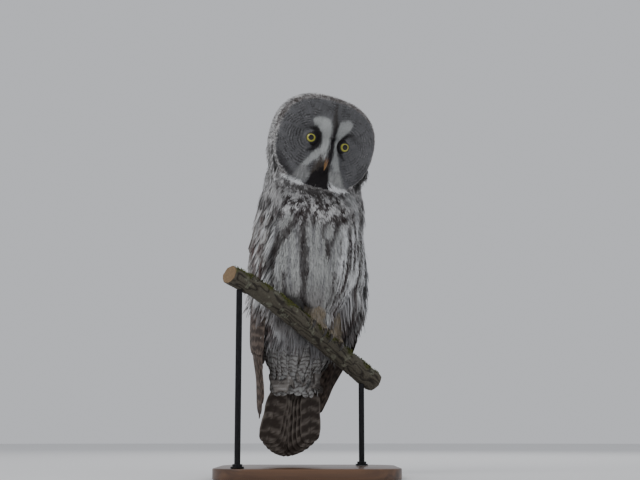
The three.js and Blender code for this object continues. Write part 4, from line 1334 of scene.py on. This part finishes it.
def dress_body(cover):
    middle = cover["points"][cover["index"]].mean(1)
    x, y, z = in_frame(middle, OWL_PLACE).T
    turn = body_turn(x, y)
    aside = np.abs(turn)
    under_wing = between(aside, 88, 140) & between(z, 232, 478)
    tail_root = (z < 194) | ((z < 208) & (aside > 150))
    trunk = np.isin(cover["part"], ["torso", "neck"]) & ~under_wing & ~tail_root
    front = np.abs(turn + 28) < 90
    for name, here in (("front", trunk & front), ("back", trunk & ~front)):
        layer("body_plumes_" + name, "body_plumes", cover, here, PLUME, BODY, down_lie, 0.10)
        layer("body_barbs_" + name, "body_barbs", cover, here, BLADE, BODY, down_lie, 0.15)
    flank_plumes(cover, {
        "edge": trunk & between(aside, 64, 90) & between(z, 250, 490),
        "thigh": trunk & between(turn, 34, 86) & between(z, 236, 330),
        "shin": trunk & between(turn, -58, 24) & between(z, 250, 286),
        "shoulder": between(aside, 58, 142) & between(z, 468, 512),
    })


def flank_plumes(cover, grounds):
    """Long loose plumes of the flanks, which lap over the front edges of the wings."""
    for name, (long, outward, wrap) in FLANKS.items():
        roots, normals = scatter(cover, grounds[name], "flank_plumes")
        count = len(roots)
        side = np.sign(in_frame(roots, OWL_PLACE)[:, 0])
        back = turned(np.stack([side * 0.3, np.full(count, 0.55), np.zeros(count)], 1), OWL_PLACE)
        start = unit(strewn(DOWN + outward * normals + wrap * back, 0.05))
        end = unit(strewn(DOWN + wrap * back - 0.05 * normals, 0.07))
        sizes = varied(count, "flank_plumes")
        sizes[0] *= long
        coat("flank_plumes_" + name, cover, PLUME, BODY, roots, normals, sizes, start, end)
        sizes = varied(count, "flank_barbs")
        sizes[0] *= long
        coat("flank_barbs_" + name, cover, BLADE, BODY, roots, normals, sizes, start,
             unit(strewn(end, 0.08)))


def dress_legs(cover):
    roots, normals = scatter(cover, np.isin(cover["part"], ["leg", "foot"]), "leg_tufts")
    start = unit(strewn(1.1 * normals + DOWN, 0.2))
    end = unit(strewn(DOWN + 0.05 * normals, 0.22))
    sizes = varied(len(roots), "leg_tufts")
    sizes[0] *= 1 + 0.9 * smooth(in_frame(roots, OWL_PLACE)[:, 2], 238, 262)
    coat("leg_tufts", cover, BLADE, LEGS, roots, normals, sizes, start, end)


# Flight feathers: closed vanes with a raised shaft

VANE_COLUMNS = np.array([-1, -0.8, -0.55, -0.3, -0.07, 0, 0.07, 0.3, 0.55, 0.8, 1])
VANE_ROWS = 40
VANE_THICK = 0.7
SHAFT_RISE = 0.55


def vane_mesh(middle, outward, wide, slope):
    """One closed vane in the owl's frame, along its middle line and facing outward."""
    t = np.linspace(0, 1, VANE_ROWS)
    run = unit(np.gradient(middle, axis=0))
    across = unit(np.cross(outward, run))
    up = np.cross(run, across)
    body = 0.5 + 0.5 * smooth(t, 0, 0.4)
    tip = np.sqrt(np.clip(1 - ((t - 0.86) / 0.14).clip(0, 1) ** 2.4, 0.0, 1))
    half = wide / 2 * body * tip + 0.15
    worn = 1 - 0.10 * np.clip(noise(t * 9 + wide, 0.5, seed=int(wide * 7)), 0, 1)
    reach = half[:, None] * VANE_COLUMNS * np.where(np.abs(VANE_COLUMNS) == 1, worn[:, None], 1)
    rise = slope * VANE_COLUMNS * (half / half.max())[:, None] - 0.9 * VANE_COLUMNS**2 * (wide / 30)
    ridge = SHAFT_RISE * (VANE_COLUMNS == 0) * (1 - 0.7 * t[:, None])
    thin = VANE_THICK * (1 - 0.55 * np.abs(VANE_COLUMNS)) / 2 * np.ones((VANE_ROWS, 1))
    flat = middle[:, None] + across[:, None] * reach[..., None]
    top = flat + up[:, None] * (rise + thin + ridge)[..., None]
    under = flat + up[:, None] * (rise - thin)[..., None]
    points, quads = tube_mesh(np.concatenate([top, under[:, ::-1]], 1))
    sides = 2 * len(VANE_COLUMNS)
    j = np.arange(len(VANE_COLUMNS) - 1)
    cap = np.stack([j, sides - 1 - j, sides - 2 - j, j + 1], 1)
    quads = np.concatenate([quads, cap, (cap + (VANE_ROWS - 1) * sides)[:, ::-1]])
    length = np.linalg.norm(np.diff(middle, axis=0), axis=1).sum()
    along = np.broadcast_to((t * length)[:, None], (VANE_ROWS, sides))
    aside = np.concatenate([reach, reach[:, ::-1]], 1)
    return points, quads[:, ::-1], aside.ravel(), along.ravel(), length


def flight_feather(middle, outward, wide, slope, kind, seed, root):
    """A vane with its colours, its places on the vane, and its root's place on the map."""
    points, quads, aside, along, length = vane_mesh(middle, outward, wide, slope)
    return {
        "points": points, "quads": quads, "aside": aside, "along": along, "root": root,
        "tint": flight_tint(kind, aside, along, length, wide, seed),
    }


def joined_feathers(title, feathers, look, replaces=()):
    """Joins flight feathers into one piece."""
    starts = np.cumsum([0] + [len(feather["points"]) for feather in feathers])
    quads = [feather["quads"] + start for feather, start in zip(feathers, starts)]
    vane, bake = [], []
    for number, feather in enumerate(feathers):
        aside, along = feather["aside"], feather["along"]
        vane.append(np.stack([aside, along, np.full(len(aside), number * 1.7)], 1))
        local = np.stack([aside / 30, along / 160 - 0.5], 1)
        bake.append(np.array(feather["root"]) + 0.04 * np.clip(local, -1, 1))
    points = moved(np.concatenate([feather["points"] for feather in feathers]) * MM, OWL_PLACE)
    tint = np.concatenate([feather["tint"] for feather in feathers])
    thing = plumage_object(
        title, points, np.concatenate(quads), tint, np.concatenate(vane), np.concatenate(bake),
    )
    finish_piece(thing, LOOKS[look], replaces)


def shell_feather(shell, turn, z, lift, **values):
    """A flight feather that lies over a shell; turn, z and lift run from root to tip."""
    t = np.linspace(0, 1, VANE_ROWS)
    turn, z, lift = (first + (last - first) * t for first, last in (turn, z, lift))
    middle = shell_point(shell, z, turn, lift)
    return flight_feather(middle, shell_point(shell, z, turn, lift + 1.0) - middle, **values)


def wing_feathers(side, title, node):
    feathers = []
    for tier_number, tier in enumerate(WING_TIERS):
        kind = tier["kind"]
        for u in np.linspace(0, 1, tier["count"]):
            root_turn, root_z, tip_turn, tip_z = (
                tier[key][0] + (tier[key][1] - tier[key][0]) * u
                for key in ("root_turn", "root_z", "tip_turn", "tip_z")
            )
            turn = (side * root_turn, side * (tip_turn + rng.uniform(-1, 1)))
            z = (root_z, tip_z - tier["droop"] * math.sin(math.pi * u) + rng.uniform(-7, 7))
            feather = shell_feather(
                WING_SHELL, turn, z, tier["lift"], wide=tier["wide"] * (1 + 0.06 * rng.uniform(-1, 1)),
                slope=1.1 * side, kind=kind, seed=rng.random() * 50,
                root=(0.07 + 0.86 * u, 0.06 + 0.13 * tier_number),
            )
            if kind == "covert":
                strand = noise(feather["aside"] / 1.5, feather["along"] / 14, u * 9, seed=65)
                grey = mix(BELLY_PALE, STREAK, smooth(strand, -0.1, 0.5))
                feather["tint"] = mix(feather["tint"], grey, 0.75 * (1 - smooth(u, 0.12, 0.5)))
            feathers.append(feather)
    joined_feathers(title, feathers, "flight", [node])


def tail_feathers():
    feathers = []
    t = np.linspace(0, 1, VANE_ROWS)[:, None]
    for rank in range(2 * TAIL_PAIRS):
        out = rank // 2 + 0.5
        aside = out if rank % 2 else -out
        tip_z = TAIL_TIP_Z + TAIL_SHORTER * (out / (TAIL_PAIRS - 0.5)) ** 2
        root = np.array([aside * TAIL_ROOT_SPREAD, TAIL_ROOT_Y - rank * TAIL_ROOT_LAYER, TAIL_ROOT_Z])
        tip = np.array([aside * TAIL_TIP_SPREAD, TAIL_TIP_Y - rank * TAIL_TIP_LAYER, tip_z])
        feathers.append(flight_feather(
            root + (tip - root) * t, np.array([0.0, 1.0, 0.0]), wide=TAIL_WIDE, slope=0.0,
            kind="tail", seed=rank * 3.1, root=(0.1 + 0.07 * rank, 0.3),
        ))
    joined_feathers("tail_feathers", feathers, "flight", ["tail"])


def tail_coverts():
    feathers = []
    for tier_number, tier in enumerate(TAIL_COVERTS):
        for i, turn in enumerate(np.linspace(*tier["turn"], tier["count"])):
            feathers.append(shell_feather(
                TRUNK_END, (turn, turn), (tier["root_z"], tier["tip_z"] + rng.uniform(-5, 5)),
                tier["lift"], wide=tier["wide"], slope=0.7,
                kind="vent" if abs(turn) < 90 else "covert", seed=rng.random() * 50,
                root=(0.08 + 0.1 * i, 0.1 + 0.19 * tier_number),
            ))
    joined_feathers("tail_coverts", feathers, "vane")


# Eyes, bill and claws

# Section of an eyelid: turn round the section, distance from the eye's axis, and forward
LID_PROFILE = [
    (-180, 7.9, 9.9), (-144, 8.4, 8.6), (-90, 10.5, 6.0), (-36, 13.2, 4.5), (0, 14.0, 6.4),
    (22, 12.8, 8.0), (54, 10.9, 9.6), (90, 9.2, 10.6), (135, 8.2, 10.7), (180, 7.9, 9.9),
]
LID_RING = 10


def make_eye(side, name, eye_look, lid_look):
    """Eyeball with a bulging cornea, and the dark lid round it."""
    place = (
        HEAD_PLACE @ Matrix.Translation((side * EYE_X * MM, EYE_Y * MM, 0))
        @ rotation(side * EYE_OUTWARD, "Z") @ rotation(90, "X")
    )
    bpy.ops.mesh.primitive_uv_sphere_add(segments=64, ring_count=48, radius=EYE_RADIUS * MM)
    eye = named(bpy.context.active_object, "eye_" + name + "_ball")
    ball = points_of(eye)
    away = np.hypot(ball[:, 0], ball[:, 1]) / MM
    front = ball[:, 2] > 0
    iris = np.stack([ball[:, 0] / MM, ball[:, 1] / MM, np.where(front, 0, 1)], 1)
    add_vectors(eye.data, "Iris", iris)
    swell = CORNEA_RISE * np.clip(1 - (away / CORNEA_RADIUS) ** 2, 0, 1) * MM
    ball[front, 2] += swell[front]
    set_points(eye, moved(ball, place))
    shade_smooth(eye)
    finish_piece(eye, eye_look, ["eye_" + name])

    bpy.ops.mesh.primitive_torus_add(
        major_segments=96, minor_segments=28, major_radius=LID_RING * MM, minor_radius=2 * MM
    )
    lid = named(bpy.context.active_object, "eyelid_" + name + "_ball")
    x, y, z = points_of(lid).T / MM
    angle = np.arctan2(y, x)
    turn = np.degrees(np.arctan2(z, np.hypot(x, y) - LID_RING))
    turns, radii, forwards = np.array(LID_PROFILE, float).T
    radius = np.interp(turn, turns, radii)
    forward = np.interp(turn, turns, forwards)
    upper = np.clip(np.sin(angle), 0, 1) ** 2 * (1 - smooth(radius, 8.6, 13))
    y = radius * np.sin(angle) - 1.5 * upper
    local = np.stack([radius * np.cos(angle), y, forward + 1.1 * upper], 1)
    set_points(lid, moved(local * MM, place))
    shade_smooth(lid)
    outer = smooth(side * np.cos(angle) - 0.6 * upper, -0.2, 0.7)
    add_tint(lid.data, mix(tone(24, 22, 22), tone(62, 60, 60), outer))
    finish_piece(lid, lid_look)
    dress_lid(lid)


def dress_lid(lid):
    """The small feathers of the disc run on over the lid, up to its bare margin."""
    cover = growing_ground(lid, np.full(len(lid.data.vertices), "lid"))
    place = in_frame(cover["points"][cover["index"]].mean(1), HEAD_PLACE)
    facing = turned(cover["normals"][cover["index"][:, 0]], HEAD_PLACE.inverted())
    away = np.hypot(np.abs(place[:, 0]) - EYE_X - 1.4, place[:, 2] + 0.5 * (place[:, 2] > 4))
    here = (away > 8.9) & (facing[:, 1] < -0.1)
    layer(lid.name + "_feathers", "lid_feathers", cover, here, BLADE, LID, face_lie)


BILL_NARROW = 0.62
BILL_RED = tone(70, 36, 28)
BILL_YELLOW = tone(130, 94, 48)


def bill_half(node, voxel, rounds, shift, tint, material):
    """Half of the bill, slimmer than the solid one, whose sides are bristles in the coat."""
    horn = smooth_copy([node], node + "_horn", voxel, rounds)
    place = in_frame(points_of(horn), HEAD_PLACE) * (BILL_NARROW, 1, 1) + shift
    set_points(horn, moved(place * MM, HEAD_PLACE))
    add_tint(horn.data, tint(place))
    finish_piece(horn, material, [node])


def upper_bill_tint(place):
    """Red-brown at the root and yellow at the tip, with a dark nostril on either side."""
    yellow = smooth(-place[:, 2], 24, 48) + 0.25 * smooth(np.abs(place[:, 0]), 2, 6)
    colour = mix(BILL_RED, BILL_YELLOW, np.clip(yellow, 0, 1))
    for side in (-1, 1):
        away = np.linalg.norm(place - (side * 4.6, -73, -20), axis=1)
        colour = mix(colour, tone(24, 20, 19), smooth(-away, -2.6, -1.6))
    return colour


def make_bill(material):
    bill_half("bill_upper", 0.8, 4, (0.4, 1.2, -2.2), upper_bill_tint, material)
    bill_half("bill_lower", 0.7, 3, (0, 0, -2.0), lambda place: BILL_YELLOW * 0.8, material)


def make_claws(material):
    for side in ("right", "left"):
        for toe in ("front_inner", "front_outer", "rear_inner", "rear_outer"):
            node = "claw_" + side + "_" + toe
            claw = smooth_copy([node], node + "_horn", 0.55, 4)
            z = points_of(claw)[:, 2]
            share = (z - z.min()) / (z.max() - z.min())
            add_tint(claw.data, mix(tone(26, 23, 22), tone(58, 52, 48), share))
            finish_piece(claw, material, [node])


# Perch and stand

def branch_place(points):
    """Distance along the branch, and turn round it from its top, for places in millimetres."""
    line = np.array(BRANCH_LINE, float)
    best = np.full(len(points), 1e9)
    along = np.zeros(len(points))
    turn = np.zeros(len(points))
    start = 0.0
    for a, b in zip(line, line[1:]):
        length = np.linalg.norm(b - a)
        run = (b - a) / length
        t = (points - a) @ run
        away = points - a - np.clip(t, 0, length)[:, None] * run
        far = np.linalg.norm(away, axis=1)
        up = unit(-DOWN - run * run[2])
        near = far < best
        best = np.where(near, far, best)
        along = np.where(near, start + t, along)
        turn = np.where(near, np.arctan2(away @ np.cross(run, up), away @ up), turn)
        start += length
    return along, turn, start


def make_perch(bark):
    perch = smooth_copy(["perch"], "perch_bark", 1.2, 14)
    points = points_of(perch)
    places = points / MM
    along, turn, total = branch_place(places)
    x, y, z = places.T
    shift = noise(x / 11, y / 11, z / 11, seed=77)
    around = turn * BRANCH_RADIUS + 2.5 * shift
    furrow = 1 - np.abs(noise(along / 21 + 0.4 * shift, around / 4.8, seed=71)) * 2.4
    ridge = smooth(furrow, 0.1, 0.9)
    small = noise((x + y) / 3.1, (y - x + z) / 2.9, (z - x) / 3.3, seed=72)
    lump = noise(along / 30, np.cos(turn) * 1.4, np.sin(turn) * 1.4, seed=73)
    from_end = np.minimum(along, total - along)
    rise = (-1.3 * ridge + 0.45 * small + 0.5 * lump) * smooth(from_end, 1.5, 5)
    set_points(perch, points + normals_of(perch) * (rise * MM)[:, None])
    colour = mix(tone(84, 79, 68), tone(48, 43, 36), ridge)
    lichen = smooth(noise(x / 9, y / 9, z / 9, seed=74), 0.25, 0.5) * smooth(small, -0.4, 0.2)
    colour = mix(colour, tone(132, 134, 116), 0.5 * lichen)
    green = smooth(np.cos(turn) + 0.7 * noise(along / 16, around / 12, seed=75), 0.35, 0.9)
    colour = mix(colour, tone(78, 82, 40), 0.7 * green)
    ends = np.array([BRANCH_LINE[0], BRANCH_LINE[-1]], float)
    from_pith = np.linalg.norm(places[:, None] - ends, axis=2).min(1)
    rings = 0.5 + 0.5 * np.sin(from_pith * 2.6)
    cut = mix(tone(150, 128, 98), tone(118, 94, 68), rings)
    add_tint(perch.data, mix(colour, cut, 1 - smooth(from_end, 0.4, 1.6)))
    finish_piece(perch, bark, ["perch"])
    grow_moss(perch)


def grow_moss(perch):
    """Cushions of short moss leaves on the upper side of the branch."""
    cover = growing_ground(perch, np.full(len(perch.data.vertices), "perch"))
    along, turn, total = branch_place(cover["points"][cover["index"]].mean(1) / MM)
    patch = np.cos(turn) + 0.8 * noise(along / 16, turn * 1.4, seed=75)
    here = (patch > 0.75) & between(along, 6, total - 6)
    roots, normals = scatter(cover, here, "perch_moss")
    lies = unit(rng.normal(0, 1, roots.shape))
    sizes = varied(len(roots), "perch_moss")
    coat("perch_moss", cover, {**BLADE, "look": "moss"}, MOSS, roots, normals, sizes, lies)


def bevel_edges(thing, chosen, width, segments):
    """Rounds, in edit mode, the edges whose two ends pass a test."""
    choose(thing)
    bpy.ops.object.mode_set(mode="EDIT")
    bpy.ops.mesh.select_mode(type="EDGE")
    bpy.ops.mesh.select_all(action="DESELECT")
    bpy.ops.object.mode_set(mode="OBJECT")
    places = points_of(thing)
    for edge in thing.data.edges:
        first, second = edge.vertices
        edge.select = bool(chosen(places[first], places[second]))
    bpy.ops.object.mode_set(mode="EDIT")
    bpy.ops.mesh.bevel(offset=width * MM, segments=segments, affect="EDGES")
    bpy.ops.mesh.select_all(action="SELECT")
    bpy.ops.mesh.normals_make_consistent(inside=False)
    bpy.ops.mesh.select_mode(type="VERT")
    bpy.ops.object.mode_set(mode="OBJECT")


# Stand: rounding of the base's corners, rims and foot, and sizes of the rods' parts
BASE_CORNER = 60
BASE_RIM = 2
BASE_FOOT = 1.2
ROD_RADIUS = 5
FLANGE_RADIUS, FLANGE_DEPTH = 11, 3
COLLAR_RADIUS, COLLAR_DEPTH = 8.2, 7
SCREW_RADIUS, SCREW_DEPTH, SCREW_HEIGHT = 1.5, 1.2, 4.6


def make_base(wood):
    low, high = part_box("stand_base")
    size = high - low
    bpy.ops.mesh.primitive_cube_add(size=1, location=(low + high) / 2)
    base = named(bpy.context.active_object, "stand_base_wood")
    base.scale = size
    choose(base)
    bpy.ops.object.transform_apply(location=True, rotation=True, scale=True)
    level = 0.01 * MM
    bevel_edges(base, lambda a, b: abs(a[2] - b[2]) > size.z * 0.9, BASE_CORNER, 16)
    bevel_edges(base, lambda a, b: min(a[2], b[2]) > high.z - level, BASE_RIM, 4)
    bevel_edges(base, lambda a, b: max(a[2], b[2]) < low.z + level, BASE_FOOT, 2)
    choose(base)
    bpy.ops.object.shade_smooth_by_angle(angle=math.radians(30))
    finish_piece(base, wood, ["stand_base"])


def turned_part(place, radius, depth, sides, bevel=0.0, segments=3, tilt=0.0):
    """A cylinder with a bevelled edge, from its middle and its sizes in millimetres."""
    bpy.ops.mesh.primitive_cylinder_add(
        vertices=sides, radius=radius * MM, depth=depth * MM, location=place,
        rotation=(math.radians(tilt), 0, 0),
    )
    thing = bpy.context.active_object
    if bevel:
        settings = {"width": bevel * MM, "segments": segments, "limit_method": "ANGLE"}
        apply_modifier(thing, "edge", "BEVEL", **settings)
    return thing


def make_rod(node, steel):
    """A turned rod with a stepped collar and a small grub screw."""
    low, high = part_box(node)
    x, y = (low.x + high.x) / 2, (low.y + high.y) / 2
    flange_z, collar_z = low.z + FLANGE_DEPTH / 2 * MM, low.z + COLLAR_DEPTH / 2 * MM
    screw_place = (x, y - COLLAR_RADIUS * MM, low.z + SCREW_HEIGHT * MM)
    rod = joined(
        turned_part((x, y, (low.z + high.z) / 2), ROD_RADIUS, (high.z - low.z) / MM, 48),
        turned_part((x, y, flange_z), FLANGE_RADIUS, FLANGE_DEPTH, 64, 0.7),
        turned_part((x, y, collar_z), COLLAR_RADIUS, COLLAR_DEPTH, 64, 0.9),
        turned_part(screw_place, SCREW_RADIUS, SCREW_DEPTH, 24, 0.25, 2, 90),
    )
    named(rod, node + "_steel")
    bpy.ops.object.transform_apply(location=True, rotation=True, scale=True)
    bpy.ops.object.shade_smooth_by_angle(angle=math.radians(35))
    finish_piece(rod, steel, [node])


# Floor, light and camera

# Soft lights: name, place and side in metres, power, and whether gloss shows it
LIGHTS = [
    ("key_light", (-1.6, -2.0, 2.3), 1.6, 31, True),
    ("fill_light", (2.2, -1.6, 1.2), 1.8, 9, False),
    ("back_light", (0.6, 2.2, 2.2), 1.8, 22, False),
]
LIT_PLACE = Vector((0, 0, 0.4))

# The photo's view: place in metres, degrees upwards, and focal length on a 36 mm sensor
VIEW_PLACE = (0.021, -2.0, 0.070)
VIEW_UP = 9.7
VIEW_LENS = 64.46


def make_stage():
    bpy.ops.mesh.primitive_circle_add(
        vertices=96, radius=9, fill_type="NGON", location=(0, 0, -0.4 * MM)
    )
    floor = named(bpy.context.active_object, "studio_floor")
    material, _, _ = new_material("pale_floor", {
        "Base Color": (0.78, 0.78, 0.78, 1), "Roughness": 0.9, "Specular IOR Level": 0.1,
    })
    floor.data.materials.append(material)

    world = bpy.data.worlds.new("studio")
    bpy.context.scene.world = world
    world.use_nodes = True
    sky = world.node_tree.nodes["Background"]
    sky.inputs["Color"].default_value = (0.93, 0.95, 1.0, 1)
    sky.inputs["Strength"].default_value = 0.62
    for name, place, side, power, in_gloss in LIGHTS:
        light = bpy.data.lights.new(name, "AREA")
        light.size = side
        light.energy = power
        lamp = place_in_scene(name, light)
        lamp.location = place
        lamp.rotation_euler = (LIT_PLACE - Vector(place)).to_track_quat("-Z", "Y").to_euler()
        lamp.visible_glossy = in_gloss


def make_camera():
    camera = bpy.data.cameras.new("viewer")
    camera.sensor_width = 36
    camera.lens = VIEW_LENS
    camera.clip_end = 50
    viewer = place_in_scene("viewer", camera)
    viewer.location = VIEW_PLACE
    viewer.rotation_euler = (math.radians(90 + VIEW_UP), 0, 0)
    bpy.context.scene.camera = viewer


# The owl put together

make_camera()
make_stage()
skin = make_skin()
part = part_of(points_of(skin))
cover = growing_ground(skin, part)
add_tint(skin.data, skin_tint(cover["points"], part))
finish_piece(skin, tinted_material("down_skin", 0.95, 900, 0.4, 0.6), FLESH)
dress_head(cover)
dress_body(cover)
dress_legs(cover)
wing_feathers(-1, "wing_right_feathers", "wing_right")
wing_feathers(1, "wing_left_feathers", "wing_left")
tail_feathers()
tail_coverts()

lid_look = tinted_material("eyelid_skin", 0.5, 1600, 0.5, 0.3)
eye_look = eye_material()
make_eye(-1, "right", eye_look, lid_look)
make_eye(1, "left", eye_look, lid_look)
make_bill(tinted_material("bill_horn", 0.34, 260, 0.12, 0.3, 0.15))
make_claws(tinted_material("claw_horn", 0.3, 300, 0.15, 0.3, 0.2))
make_perch(tinted_material("branch_bark", 0.95, 420, 0.7, 1.2))
make_base(wood_material())
steel = steel_material()
make_rod("stand_rod_high", steel)
make_rod("stand_rod_low", steel)
